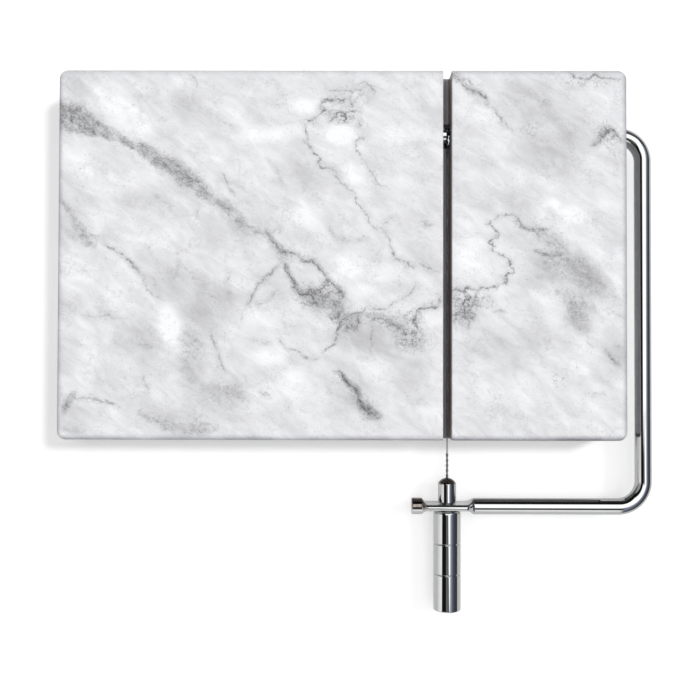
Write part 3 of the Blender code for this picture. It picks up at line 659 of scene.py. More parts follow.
def crack_lines(g, place, layers):
    """(lines, shading): the cracks, which wander off their courses, and the faint grey beside them."""
    wander = 0.0
    for size, detail, roughness, width in ((6, 1, 0.5, 2.6), (2.2, 2, 0.5, 2.6), (0.7, 2, 0.6, 1.5)):
        swing = g.add(g.noise(place, size, detail, roughness), -0.5)
        wander = g.add(wander, g.times(swing, width))
    thickness = g.ramp(g.noise(place, 1.7, 2), 0.32, 0.68, 0.5, 2.6)
    lines, shading = 0.0, 0.0
    for i in range(layers):
        attribute = g.node("Attribute", attribute_name=f"cracks_{i}")
        distance, strength, width = g.parts(attribute.outputs["Vector"])
        off = g.math("ABSOLUTE", g.add(distance, wander))
        line = g.math("DIVIDE", off, g.times(width, thickness))
        line = g.times(g.math("SUBTRACT", 1.0, line, clamp=True), strength)
        halo = g.times(g.ramp(off, 0.0, 2.2, 1.0, 0.0), strength)
        lines = g.math("MAXIMUM", lines, line)
        shading = g.math("MAXIMUM", shading, halo)
    broken = g.ramp(g.noise(place, 2.4, 3, 0.65), 0.36, 0.6, 0.2, 1.0)
    return g.times(lines, broken), shading


def net_lines(g, place, along_grain, net, band):
    """(netting, grit): thin lines between the cells of a warped Voronoi pattern, and dark specks."""
    warp = g.node("TexNoise", named={"Vector": place, "Scale": 0.45, "Detail": 3.0}).outputs[1]
    warp = g.vector("MULTIPLY", g.vector("SUBTRACT", warp, (0.5,) * 3), (4.5,) * 3)
    squeezed = g.vector("MULTIPLY", g.vector("ADD", along_grain, warp), (0.7, 1.0, 1.0))
    cells = g.node("TexVoronoi", named={"Vector": squeezed, "Scale": 0.55}, feature="DISTANCE_TO_EDGE")
    netting = g.ramp(cells.outputs[0], 0.0, 0.13, 1.0, 0.0)
    patchy = g.ramp(g.noise(place, 2.2, 3, 0.6), 0.40, 0.58)
    netting = g.times(g.times(netting, net), patchy)
    grit = g.ramp(g.noise(place, 0.55, 3, 0.75), 0.52, 0.62)
    grit = g.times(grit, g.ramp(g.noise(place, 3.0, 3, 0.6), 0.40, 0.62))
    grit = g.times(grit, g.math("MAXIMUM", net, g.times(band, 1.1)))
    return netting, grit


def band_tones(g, place, along_grain, streaked, band):
    """(veil, core): the bands' soft grey, and the dark core in streaks and specks inside it."""
    streaks = g.ramp(g.noise(streaked, 1.3, 4, 0.7, 0.8), 0.42, 0.60)
    drawn_out = g.vector("MULTIPLY", along_grain, (0.3, 1.0, 0.8))
    stripes = g.ramp(g.noise(drawn_out, 2.6, 4, 0.62, 0.6), 0.36, 0.58)
    specks = g.ramp(g.noise(place, 0.7, 3, 0.7), 0.44, 0.60)
    blotches = g.ramp(g.noise(place, 3.6, 3, 0.6), 0.38, 0.60)
    uneven = g.add(blotches, stripes)
    ragged = g.add(band, g.times(g.add(g.noise(place, 2.2, 5, 0.7), -0.5), 0.9))
    veil = g.times(g.ramp(ragged, 0.05, 1.0), g.ramp(band, 0.0, 0.25))
    veil = g.times(veil, g.add(g.times(uneven, 0.35), 0.4))
    core = g.times(g.ramp(ragged, 0.30, 0.95), g.times(g.add(streaks, specks), 0.5))
    core = g.times(core, g.add(g.times(uneven, 0.5), 0.1))
    return veil, core


def painted_rim_shade(g, place, facing):
    """How far painted shade greys the stone: on its edges, the rim of its top and its tilted faces."""
    across, along, _ = g.parts(place)
    half = (BOARD_HIGH - BOARD_LOW) / 2 / MM
    from_sides = g.math("SUBTRACT", half.x, g.math("ABSOLUTE", across))
    from_ends = g.math("SUBTRACT", half.y, g.math("ABSOLUTE", along))
    rim = g.ramp(g.math("MINIMUM", from_sides, from_ends), 0.0, 2.6, 1.0, 0.0)
    front_rim = g.ramp(along, 2.6 - half.y, 0.4 - half.y)
    front_rim = g.times(front_rim, g.ramp(g.noise(place, 16, 2), 0.35, 0.65, 0.3, 1.0))
    past_slot = g.ramp(g.add(across, -SLOT_AT), -1.0, 1.0, 1.0, 1.6)
    rim_shade = g.times(past_slot, g.add(g.times(rim, 0.26), g.times(front_rim, 0.32)))
    rim_shade = g.add(rim_shade, g.ramp(from_sides, 0.2, 2.0, 0.20, 0.0))
    rim_shade = g.add(rim_shade, g.ramp(facing[2], 0.25, 0.98, 0.34, 0.0))
    return g.times(rim_shade, g.ramp(facing[2], 0.0, 0.35, 0.08, 1.0))


def slot_painted_shade(g, place):
    """(share, colour) of the painted shade in the saw cut, fuller deeper down and browner on its right
    wall.
    """
    across, _, height = g.parts(place)
    across = g.add(across, -SLOT_AT)
    wall = SLOT_WIDTH / 2 / MM
    in_cut = g.ramp(g.math("ABSOLUTE", across), wall + 0.05, wall + 0.3, 1.0, 0.0)
    in_cut = g.times(in_cut, g.ramp(height, -3.6, -0.3, 1.0, 0.0))
    shade_patches = g.noise(place, 3, 3, 0.6)
    left_wall_shade = g.mix(shade_patches, colour(0.145, 0.145, 0.155), colour(0.25, 0.25, 0.265))
    right_wall_shade = g.mix(shade_patches, colour(0.24, 0.19, 0.18), colour(0.42, 0.36, 0.34))
    return g.times(in_cut, 0.93), g.mix(g.ramp(across, 0.2, 1.2), left_wall_shade, right_wall_shade)


def make_marble(layers):
    """White marble with grey bands, nets and cracks, laid out by the board mesh's attributes."""
    g = Material("veined_marble")
    place = g.millimetres((BOARD_MIDDLE.x, BOARD_MIDDLE.y, BOARD_HIGH.z))
    band, net, light = g.parts(g.node("Attribute", attribute_name="tones").outputs["Vector"])

    # The stone's grain runs from the back left to the front right.
    along_grain = g.node("Mapping", place, named={"Rotation": (0, 0, math.radians(35))}).outputs[0]
    streaked = g.vector("MULTIPLY", along_grain, (0.45, 1.0, 0.8))

    # The ground has soft clouds, faint veinlets, a scatter of specks and a fine grain.
    broad = g.noise(streaked, 12, 3, 0.5, 0.5)
    mottle = g.noise(streaked, 4.5, 4, 0.60, 0.6)
    wisps = g.math("ABSOLUTE", g.add(g.noise(place, 7, 5, 0.66, 0.3), -0.5))
    wisps = g.times(g.ramp(wisps, 0.0, 0.035, 1.0, 0.0), g.ramp(g.noise(place, 9, 2), 0.45, 0.65))
    pepper = g.ramp(g.noise(place, 1.1, 3, 0.7), 0.54, 0.68)
    pepper = g.times(pepper, g.ramp(g.noise(place, 8, 3, 0.6), 0.44, 0.60))
    grain = g.noise(place, 0.45, 3, 0.75)
    lightness = g.add(g.times(g.add(broad, -0.5), 0.9), g.times(g.add(mottle, -0.5), 1.0))
    lightness = g.add(g.add(lightness, g.times(light, 0.46)), 0.56)
    stone = g.mix(lightness, colour(0.535, 0.535, 0.550), colour(0.945, 0.950, 0.970))

    # The veins are laid over it, from the softest to the darkest.
    cracks, shading = crack_lines(g, place, layers)
    netting, grit = net_lines(g, place, along_grain, net, band)
    veil, core = band_tones(g, place, along_grain, streaked, band)
    soft = g.add(g.times(wisps, 0.20), g.times(pepper, 0.30))
    soft = g.add(soft, g.add(g.times(shading, 0.26), g.times(veil, 0.50)))
    for vein, strength, tone in (
        (soft, 1.0, colour(0.27, 0.27, 0.28)),
        (core, 0.86, colour(0.12, 0.12, 0.125)),
        (grit, 0.62, colour(0.13, 0.13, 0.135)),
        (netting, 0.80, colour(0.11, 0.11, 0.115)),
        (cracks, 0.95, colour(0.06, 0.06, 0.065)),
    ):
        stone = g.mix(g.times(vein, strength), stone, tone)
    speckle = g.add(g.times(g.add(grain, -0.5), 0.34), 1.0)
    speckle = g.node("CombineColor", speckle, speckle, speckle).outputs[0]
    stone = g.mix(1.0, stone, speckle, "MULTIPLY")

    facing = g.parts(g.node("NewGeometry").outputs["Normal"])
    # Painted shade, a lavender grey, along the board's rims and on its bevels and sides.
    stone = g.mix(painted_rim_shade(g, place, facing), stone, colour(0.20, 0.195, 0.235))
    # Painted shade, only in reflections: the front and right faces show polished pieces their shaded
    # sides.
    turned_away = g.add(g.ramp(facing[1], -0.8, -0.3, 0.75, 0.0), g.ramp(facing[0], 0.3, 0.8, 0.0, 0.5))
    reflected_shade = g.times(turned_away, g.node("LightPath").outputs["Is Glossy Ray"])
    stone = g.mix(reflected_shade, stone, grey(0.05))
    # Painted shade in the saw cut.
    in_cut, cut_shade = slot_painted_shade(g, place)
    stone = g.mix(in_cut, stone, cut_shade)

    g.shader.inputs["Specular IOR Level"].default_value = 0.35
    roughness = g.ramp(g.add(core, g.times(mottle, 0.3)), 0.0, 1.0, 0.36, 0.52)
    relief = g.add(g.times(grain, 0.35), g.math("SUBTRACT", g.noise(place, 6, 2), cracks))
    return g.finish(stone, roughness, relief, 0.012 * MM, 0.6)


def board_outline(inset, z):
    """The board's plan outline, with round corners, drawn in by an inset."""
    radius = CORNER_RADIUS - inset
    half = (BOARD_HIGH - BOARD_LOW) / 2
    x, y = half.x - CORNER_RADIUS, half.y - CORNER_RADIUS
    points = []
    for corner_x, corner_y, start in ((x, y, 0), (-x, y, 90), (-x, -y, 180), (x, -y, 270)):
        points += arc((corner_x, corner_y), radius, start, start + 90, 10)
    return [Vector((BOARD_MIDDLE.x + across, BOARD_MIDDLE.y + along, z)) for across, along in points]


def board_slab():
    """The slab, with every long edge rounded over."""
    rings = []
    low, high = BOARD_LOW.z + EDGE_RADIUS, BOARD_HIGH.z - EDGE_RADIUS
    for height, start, end in ((low, -90, 0), (high, 0, 90)):
        for reach, rise in arc((0, height), EDGE_RADIUS, start, end, 6):
            rings.append(board_outline(EDGE_RADIUS - reach, rise))
    return loft(rings)


def slot_profile(floor_radius, depth):
    """(across, up) outline of what the slot takes away, with the lips at up = 0 rounded over."""
    half, lip = SLOT_WIDTH / 2, SLOT_LIP_RADIUS
    side = arc((half - floor_radius, floor_radius - depth), floor_radius, -90, 0, 5)
    side += arc((half + lip, -lip), lip, 180, 90, 6)
    side.append((half + lip, PAST))
    return side + [(-across, up) for across, up in side[::-1]]


def slot_cutters():
    """The saw cut along Y, and the rounding of its mouths in the front and back faces."""
    profile = slot_profile(SLOT_FLOOR_RADIUS, SLOT_DEPTH)
    ends = (BOARD_LOW.y - PAST, BOARD_HIGH.y + PAST)
    cutters = [loft([[Vector((PIVOT.x + a, y, BOARD_HIGH.z + u)) for a, u in profile] for y in ends])]
    lip = SLOT_LIP_RADIUS
    mouth = [(a, max(u, -lip - PAST / 4)) for a, u in slot_profile(SLOT_FLOOR_RADIUS, lip + PAST / 2)]
    rise = (BOARD_HIGH.z - SLOT_DEPTH + SLOT_FLOOR_RADIUS, BOARD_HIGH.z + PAST)
    for edge, out in ((BOARD_LOW.y, -1), (BOARD_HIGH.y, 1)):
        rings = [[Vector((PIVOT.x + a, edge + out * u, z)) for a, u in mouth] for z in rise]
        cutters.append(loft(rings))
    return cutters


def bore_cutter():
    """The pivot bore from its drilled point to its eased mouth."""
    point = BORE_RADIUS / math.tan(DRILL_POINT)
    lip = SLOT_LIP_RADIUS
    outline = [(0, -point), (BORE_RADIUS, 0)]
    outline += arc((BORE_RADIUS + lip, BORE_DEPTH - lip), lip, 180, 90, 5)
    outline += [(BORE_RADIUS + lip, BORE_DEPTH + PAST), (0, BORE_DEPTH + PAST)]
    place = (BOARD_HIGH.x - BORE_DEPTH, PIVOT.y, PIVOT.z)
    return placed(turned(outline), place, ALONG_X)


def cut_into_grid(shape):
    """Divides every face along planes GRID apart, so that its corners can hold the veins."""
    for axis in range(3):
        normal = Vector([float(i == axis) for i in range(3)])
        span = BOARD_HIGH[axis] - BOARD_LOW[axis]
        steps = round(span / GRID)
        for i in range(1, steps):
            place = BOARD_LOW + normal * (span * i / steps)
            parts = shape.verts[:] + shape.edges[:] + shape.faces[:]
            bmesh.ops.bisect_plane(shape, geom=parts, dist=1e-6, plane_co=place, plane_no=normal)
    bmesh.ops.remove_doubles(shape, verts=shape.verts, dist=2e-6)


def curved(points, per_span=5):
    """Points along a smooth curve through the given ones, with their widths carried along."""
    points = np.array(points, float)
    padded = np.vstack([2 * points[0] - points[1], points, 2 * points[-1] - points[-2]])
    line = []
    for a, b, c, d in zip(padded, padded[1:], padded[2:], padded[3:]):
        for t in np.arange(per_span) / per_span:
            bend = (-a + 3 * b - 3 * c + d) * t**3 + (2 * a - 5 * b + 4 * c - d) * t**2
            line.append(b + ((c - a) * t + bend) / 2)
    return np.array(line + [points[-1]])


def nearest(places, line):
    """(distance, which side of the line, length of line before the nearest point, its width)"""
    best = np.full(len(places), np.inf)
    side, before, width = np.ones(len(places)), np.zeros(len(places)), np.zeros(len(places))
    passed = 0.0
    for a, b in zip(line, line[1:]):
        step = b - a
        length = math.hypot(step[0], step[1])
        share = np.clip((places - a[:2]) @ step[:2] / length**2, 0, 1)
        away = places - a[:2] - share[:, None] * step[:2]
        distance = np.hypot(away[:, 0], away[:, 1])
        closer = distance < best
        best[closer] = distance[closer]
        side[closer] = np.sign(step[0] * away[:, 1] - step[1] * away[:, 0] + 1e-12)[closer]
        before[closer] = (passed + share * length)[closer]
        width[closer] = (a[2] + share * step[2])[closer]
        passed += length
    return best, side, before, width, passed


def lay_out_cracks():
    """Sorts the cracks into layers, where no two of a layer come near each other."""
    clear = 7.0  # millimetres between two cracks of a layer
    layers = []
    for strength, width, points in CRACKS:
        line = curved([(x, y, width) for x, y in points])
        for layer in layers:
            if all(nearest(other[:, :2], line)[0].min() > clear for _, other in layer):
                layer.append((strength, line))
                break
        else:
            layers.append([(strength, line)])
    return layers


def crack_values(places, layer):
    """For each place, the distance to one side of the nearest crack, its strength and its width.

    A crack counts up to its reach, and is fainter over the taper at both its ends.
    """
    reach, margin, taper = 3.4, 3.0, 2.5
    out_of_reach = (50.0, 0.0, 0.3)
    values = np.tile(out_of_reach, (len(places), 1))
    for strength, line in layer:
        low, high = line[:, :2].min(0) - reach - margin, line[:, :2].max(0) + reach + margin
        near = np.flatnonzero(((places > low) & (places < high)).all(1))
        distance, side, before, width, length = nearest(places[near], line)
        near_enough = distance < reach + margin
        end = np.minimum(before, length - before)
        fade = 0.35 + 0.65 * smooth_step(end / taper)
        # Past its ends, where the nearest point stays the end itself, a crack stops at once.
        beyond = (end < 1e-6) & (distance > 0.8)
        fade = np.where(beyond, 0, fade) * smooth_step((reach - distance) / 1.2)
        found = np.stack([distance * side, strength * fade, width], 1)
        values[near[near_enough]] = found[near_enough]
    return values


def patch_values(places, patches):
    """How far each place is inside soft ellipses, from 0 to 1."""
    total = np.zeros(len(places))
    for strength, x, y, length, width, turn in patches:
        cos, sin = math.cos(math.radians(turn)), math.sin(math.radians(turn))
        offset = places - (x, y)
        across = np.hypot(
            (offset[:, 0] * cos + offset[:, 1] * sin) / length,
            (offset[:, 1] * cos - offset[:, 0] * sin) / width,
        )
        total = np.maximum(total, strength * smooth_step((1.5 - across) / 1.2))
    return total


def band_values(places):
    """How far each place is inside the soft grey bands, from 0 to 1."""
    margin = 14  # beyond where the widest band has faded out
    total = np.zeros(len(places))
    for darkness, points in BANDS:
        line = curved(points)
        low, high = line[:, :2].min(0) - margin, line[:, :2].max(0) + margin
        near = np.flatnonzero(((places > low) & (places < high)).all(1))
        distance, _, before, width, length = nearest(places[near], line)
        share = darkness * smooth_step(1.2 - distance / (1.6 * width + 0.4))
        total[near] = np.maximum(total[near], share)
    return total


def paint_veins(mesh):
    """Gives the mesh's corners their places in the veins, which run down through the stone aslant.

    It returns the number of layers that hold the cracks.
    """
    places = np.empty(len(mesh.vertices) * 3, np.float32)
    mesh.vertices.foreach_get("co", places)
    places = places.reshape(-1, 3).astype(float)
    offset = (places - (BOARD_MIDDLE.x, BOARD_MIDDLE.y, BOARD_HIGH.z)) / MM
    slant = (0.45, -0.6)  # how far a vein shifts to the right and to the back per millimetre up
    flat = offset[:, :2] - offset[:, 2:] * slant
    light = patch_values(flat, CLOUDS) - patch_values(flat, SHADES)
    tones = np.stack([band_values(flat), patch_values(flat, NETS), light], 1)
    layers = lay_out_cracks()
    named = {"tones": tones}
    named.update({f"cracks_{i}": crack_values(flat, layer) for i, layer in enumerate(layers)})
    for name, values in named.items():
        attribute = mesh.attributes.new(name, "FLOAT_VECTOR", "POINT")
        attribute.data.foreach_set("vector", values.astype(np.float32).ravel())
    return len(layers)


def build_board():
    """The slab with its slot and its bore, on a grid of corners that is fine enough for the veins."""
    slab = add_piece("marble_slab", board_slab())
    cut_away(slab, slot_cutters() + [bore_cutter()])
    shape = bmesh.new()
    shape.from_mesh(slab.data)
    cut_into_grid(shape)
    bpy.data.objects.remove(slab)
    return add_piece("marble_slab", shape)


board = build_board()
board.data.materials.append(make_marble(paint_veins(board.data)))
hand_in(board, "board", "marble_board")


# Chrome ---------------------------------------------------------------------------------------


def make_chrome(name, tint, origin, shaded_end=None):
    """Polished chrome plate: a faint ripple from the polishing wheel, hazy smears and fine scratches.

    A shaded end, given as (axis, where it starts, where it is complete) in millimetres from the origin,
    has a painted dull brown reflection on its back.
    """
    g = Material(name, metallic=1.0)
    place = g.millimetres(origin)
    smear = g.noise(place, 7, 3, 0.6)
    cloudy = g.noise(place, 1.6, 3, 0.65)
    plate = g.mix(g.ramp(smear, 0.3, 0.7), colour(*[c * 0.95 for c in tint]), colour(*tint))
    if shaded_end:
        # Painted reflection: the back of the shaded end is darkened to a dull brown.
        axis, starts, complete = shaded_end
        end_shade = g.ramp(g.parts(place)[axis], starts, complete)
        end_shade = g.times(end_shade, g.ramp(cloudy, 0.3, 0.6, 0.75, 1.0))
        faces_back = g.parts(g.node("TexCoord").outputs["Normal"])[1]
        end_shade = g.times(end_shade, g.ramp(faces_back, -0.35, 0.0))
        plate = g.mix(end_shade, plate, colour(0.20, 0.17, 0.15))
    scratches = g.noise(g.vector("MULTIPLY", place, (0.6, 9.0, 9.0)), 1.2, 2, 0.5, 0.3)
    scratches = g.ramp(scratches, 0.60, 0.70)
    haze = g.add(g.times(smear, 0.025), g.add(g.times(cloudy, 0.015), g.times(scratches, 0.03)))
    ripple = g.add(g.noise(place, 3.5, 1), g.times(cloudy, 0.15))
    return g.finish(plate, g.add(haze, 0.008), ripple, 0.006 * MM, 0.4)


CHROME = (0.55, 0.556, 0.554)
BOLT_CHROME = (0.54, 0.545, 0.54)
TIP_AT = (ARM_LOW.x - PIVOT.x) / MM
DOME_AT = (BOLT_HIGH.y - SEAT.y) / MM
# The arm's tip and the bolt's dome take a painted dark brown reflection on their backs.
arm_chrome = make_chrome("arm_chrome", CHROME, PIVOT, (0, TIP_AT + 7, TIP_AT + 4))
bolt_chrome = make_chrome("bolt_chrome", BOLT_CHROME, SEAT, (1, DOME_AT - 2.6, DOME_AT - 1.6))
handle_chrome = make_chrome("handle_chrome", CHROME, SEAT)


# Arm ------------------------------------------------------------------------------------------


def rod_section(flatness, size, segments=ROUND):
    """(across, up) points of the rod's section, from round (0) to pressed flat (1)."""
    half_thick = EYE_THICKNESS / 2
    core = EYE_WIDTH / 2 - half_thick
    points = []
    for i in range(segments):
        angle = 2 * math.pi * i / segments
        across, up = math.cos(angle), math.sin(angle)
        turn = math.atan2(abs(up), abs(across)) / (math.pi / 2)
        if turn < 0.5:
            flat = (half_thick, core * turn / 0.5)
        else:
            bend = (turn - 0.5) * math.pi
            flat = (half_thick * math.cos(bend), core + half_thick * math.sin(bend))
        pressed = (math.copysign(flat[0], across), math.copysign(flat[1], up))
        mixed = [
            (1 - flatness) * ROD_RADIUS * round_one + flatness * pressed_one
            for round_one, pressed_one in zip((across, up), pressed)
        ]
        points.append((mixed[0] * size, mixed[1] * size))
    return points


def rod_end(steps=5):
    """(distance from the end, size of the section) over the rod's rounded end."""
    rounded = arc((ROD_END_RADIUS, ROD_RADIUS - ROD_END_RADIUS), ROD_END_RADIUS, 180, 90, steps)
    return [(back, out / ROD_RADIUS) for back, out in rounded]


def rod_stations():
    """(place, direction, flatness, size) along the rod from its pivot end to its tip."""
    right, toward, left = Vector((1, 0, 0)), Vector((0, -1, 0)), Vector((-1, 0, 0))
    stations = []
    for back, size in rod_end():
        stations.append((Vector((PIVOT_END_X + back, PIVOT.y, PIVOT.z)), right, 0, size))
    front_y = PIVOT.y - REACH
    stations.append((Vector((PIVOT_END_X + 2 * ROD_END_RADIUS, PIVOT.y, PIVOT.z)), right, 0, 1))
    first = Vector((LEG_X - BEND_RADIUS, PIVOT.y - BEND_RADIUS, PIVOT.z))
    second = Vector((LEG_X - BEND_RADIUS, front_y + BEND_RADIUS, PIVOT.z))
    steps = 24
    nearby = 0.1 * MM  # a station this far from each bend keeps the straights' shading
    for centre, outward, ahead in ((first, -toward, right), (second, right, toward)):
        stations.append((centre + BEND_RADIUS * outward - ahead * nearby, ahead, 0, 1))
        for i in range(steps + 1):
            angle = math.pi / 2 * i / steps
            radial = outward * math.cos(angle) + ahead * math.sin(angle)
            direction = ahead * math.cos(angle) - outward * math.sin(angle)
            stations.append((centre + BEND_RADIUS * radial, direction, 0, 1))
        stations.append((centre + BEND_RADIUS * ahead - outward * nearby, -outward, 0, 1))
    steps = 14
    for x, taper, rising in (
        (SEAT.x + EYE_RIGHT + EYE_RIGHT_TAPER, EYE_RIGHT_TAPER, True),
        (SEAT.x - EYE_LEFT, EYE_LEFT_TAPER, False),
    ):
        for i in range(steps + 1):
            share = i / steps
            eased = float(smooth_step(share))
            place = Vector((x - taper * share, front_y, PIVOT.z))
            stations.append((place, left, eased if rising else 1 - eased, 1))
    for back, size in rod_end()[::-1]:
        stations.append((Vector((ARM_LOW.x + back, front_y, PIVOT.z)), left, 0, size))
    return stations


def build_arm():
    """The bent rod, with its eye, and the notch and pocket that hold the wire's rear end."""
    rings = []
    for place, direction, flatness, size in rod_stations():
        sideways = direction.cross(Vector((0, 0, 1)))
        section = rod_section(flatness, size)
        rings.append([place + sideways * a + Vector((0, 0, u)) for a, u in section])
    arm = add_piece("bent_rod", loft(rings), arm_chrome)
    long_enough = ROD_RADIUS + PAST
    lip = 0.25 * MM
    face = EYE_THICKNESS / 2
    side = arc((EYE_HOLE_RADIUS + lip, face - lip), lip, 180, 90, 4)
    side.append((EYE_HOLE_RADIUS + lip, long_enough))
    eye = [(0, -long_enough)] + [(radius, -height) for radius, height in side[::-1]] + side
    eye.append((0, long_enough))
    eye_place = (SEAT.x, PIVOT.y - REACH, PIVOT.z)
    eye_hole = placed(turned(eye), eye_place, TOWARDS_USER)
    # A notch, open at the top, takes the wire, and behind it a wider pocket takes the rear ball.
    half = NOTCH_WIDTH / 2
    notch = box((-half, -long_enough, -half), (half, long_enough, long_enough))
    half = POCKET_WIDTH / 2
    low = (-half, POCKET_FRONT, -POCKET_HALF_HEIGHT)
    pocket = box(low, (half, long_enough, long_enough))
    cut_away(arm, (eye_hole, placed(notch, WIRE_PIVOT), placed(pocket, WIRE_PIVOT)))
    shade(arm.data)
    return arm


hand_in(build_arm(), "arm", "cutting_arm")


# Wire -----------------------------------------------------------------------------------------


def make_wire_steel():
    """Drawn stainless wire: darker where it was gripped, with fine lines from the die."""
    g = Material("drawn_wire", metallic=1.0)
    place = g.millimetres(PIVOT)
    lines = g.noise(g.vector("MULTIPLY", place, (12.0, 0.4, 12.0)), 1.0, 2)
    stain = g.noise(place, 2.5, 3, 0.6)
    steel = g.mix(g.ramp(stain, 0.35, 0.7), colour(0.20, 0.20, 0.20), colour(0.36, 0.355, 0.35))
    return g.finish(steel, g.ramp(lines, 0.3, 0.7, 0.24, 0.42), lines, 0.01 * MM, 0.6)


def strand_point(reach, angle, radius):
    """A point of a strand that winds about the wire's line, at a distance in front of the pivot."""
    return Vector((radius * math.sin(angle), -reach, radius * math.cos(angle)))


def end_loop(ball, side):
    """The wire's loop round a ball, from below the wire's line to above it."""
    leaves = BALL_RADIUS + BALL_GAP
    distance = math.hypot(leaves, TWIST_RADIUS)
    touch = math.atan2(TWIST_RADIUS, leaves) + math.acos(LOOP_RADIUS / distance)
    steps = 32
    points = []
    for i in range(steps + 1):
        angle = -touch - (2 * math.pi - 2 * touch) * i / steps
        along = side * LOOP_RADIUS * math.cos(angle)
        points.append(Vector((0, -(ball + along), LOOP_RADIUS * math.sin(angle))))
    return points


def twisted_end(ball, side, length):
    """(tail, standing): the two strands of a twisted end, each from the ball outwards."""
    start = ball + side * (BALL_RADIUS + BALL_GAP)
    steps = math.ceil(24 * length / TWIST_PITCH)
    tail, standing = [], []
    for i in range(steps + 1):
        reach = start + side * length * i / steps
        angle = 2 * math.pi * length / TWIST_PITCH * i / steps
        tail.append(strand_point(reach, angle + math.pi, TWIST_RADIUS))
        standing.append(strand_point(reach, angle, TWIST_RADIUS))
    steps = 10
    for i in range(1, steps + 1):
        share = i / steps
        eased = float(smooth_step(share))
        reach = start + side * (length + TWIST_RUNOUT * share)
        turned_on = 2 * math.pi * (length + TWIST_RUNOUT * share) / TWIST_PITCH
        standing.append(strand_point(reach, turned_on, TWIST_RADIUS * (1 - eased)))
    return tail, standing


def wire_path():
    """The wire's whole line from its rear cut end, round both balls, to its front cut end."""
    leaves = BALL_RADIUS + BALL_GAP
    rear_tail, rear_standing = twisted_end(REAR_BALL, 1, REAR_TWIST_END - REAR_BALL - leaves)
    front_length = FRONT_BALL - leaves - FRONT_TWIST_START
    front_tail, front_standing = twisted_end(FRONT_BALL, -1, front_length)
    path = rear_tail[::-1] + end_loop(REAR_BALL, 1) + rear_standing
    path += front_standing[::-1] + end_loop(FRONT_BALL, -1)[::-1] + front_tail
    return path


def tube(path, radius, segments):
    """A round solid along a line of points, whose rings turn no more than the line does."""
    directions = []
    for i in range(len(path)):
        before, after = path[max(i - 1, 0)], path[min(i + 1, len(path) - 1)]
        directions.append((after - before).normalized())
    across = directions[0].orthogonal().normalized()
    rings = []
    for i, (place, direction) in enumerate(zip(path, directions)):
        if i:
            across = directions[i - 1].rotation_difference(direction) @ across
        other = direction.cross(across)
        ring = circle(radius, 0, segments)
        rings.append([place + across * p.x + other * p.y for p in ring])
    return loft(rings)


strand = placed(tube(wire_path(), WIRE_RADIUS, segments=14), WIRE_PIVOT)
wire = add_piece("cutting_strand", strand, make_wire_steel())
hand_in(wire, "arm", "cutting_wire")


def make_dark_steel():
    """Blackened steel, with its turning lines round the barrel and bare metal showing in specks."""
    g = Material("ball_steel", metallic=1.0)
    place = g.millimetres(PIVOT)
    worn = g.ramp(g.noise(place, 0.9, 3, 0.6), 0.55, 0.75)
    steel = g.mix(worn, grey(0.05), colour(0.16, 0.155, 0.15))
    lines = g.noise(g.vector("MULTIPLY", place, (14.0, 0.5, 0.5)), 1.0, 2)
    return g.finish(steel, g.ramp(lines, 0.3, 0.7, 0.18, 0.35), lines, 0.01 * MM, 0.5)


def build_ball(name, reach, steel):
    """A short barrel across the wire, with a groove round its middle for the loop."""
    half = (BALL_HIGH.x - BALL_LOW.x) / 2
    groove = BALL_GROOVE_WIDTH / 2
    edge = 0.2 * MM
    outline = [(0, -half)] + arc((BALL_RADIUS - edge, edge - half), edge, -90, 0, 4)
    outline += [(BALL_RADIUS, -groove - edge / 4), (BALL_RADIUS - edge / 4, -groove)]
    outline += [(BALL_WAIST_RADIUS, -groove)]
    outline += [(radius, -height) for radius, height in outline[::-1]]
    place = WIRE_PIVOT - Vector((0, reach, 0))
    return add_piece(name, placed(turned(outline, segments=48), place, ALONG_X), steel)


ball_steel = make_dark_steel()
for ball_name, node, reach in (
    ("rear_barrel", "rear_wire_ball", REAR_BALL),
    ("front_barrel", "front_wire_ball", FRONT_BALL),
):
    hand_in(build_ball(ball_name, reach, ball_steel), "arm", node)


# Bolt and handle ------------------------------------------------------------------------------


def thread_rings(shape, start, end, segments):
    """The outside of a right-hand thread from start to end along Z, made as rows that climb.

    It returns the plain ring of vertices at each end, where the thread runs out to its root.
    """
    # (share of the pitch, radius)
    profile = (
        (0, THREAD_ROOT_RADIUS),
        (1 / 4, THREAD_ROOT_RADIUS),
        (9 / 16, THREAD_RADIUS),
        (11 / 16, THREAD_RADIUS),
    )
    turns = math.ceil((end - start) / THREAD_PITCH) + 2
    ends = []
    for z in (start, end):
        ends.append([shape.verts.new(p) for p in circle(THREAD_ROOT_RADIUS, z, segments)])
    columns = []
    for i in range(segments + 1):
        column = []
        angle = 2 * math.pi * i / segments
        for turn in range(-1, turns):
            for share, radius in profile:
                z = start + (turn + share + i / segments - 1) * THREAD_PITCH
                if z <= start or z >= end:
                    column.append(ends[z >= end][i % segments])
                    continue
                place = (radius * math.cos(angle), radius * math.sin(angle), z)
                column.append(shape.verts.new(place))
        columns.append(column)
    for left, right in zip(columns, columns[1:]):
        for j in range(len(left) - 1):
            corners = []
            for vertex in (left[j], right[j], right[j + 1], left[j + 1]):
                if vertex not in corners:
                    corners.append(vertex)
            if len(corners) > 2:
                shape.faces.new(corners)
    return ends


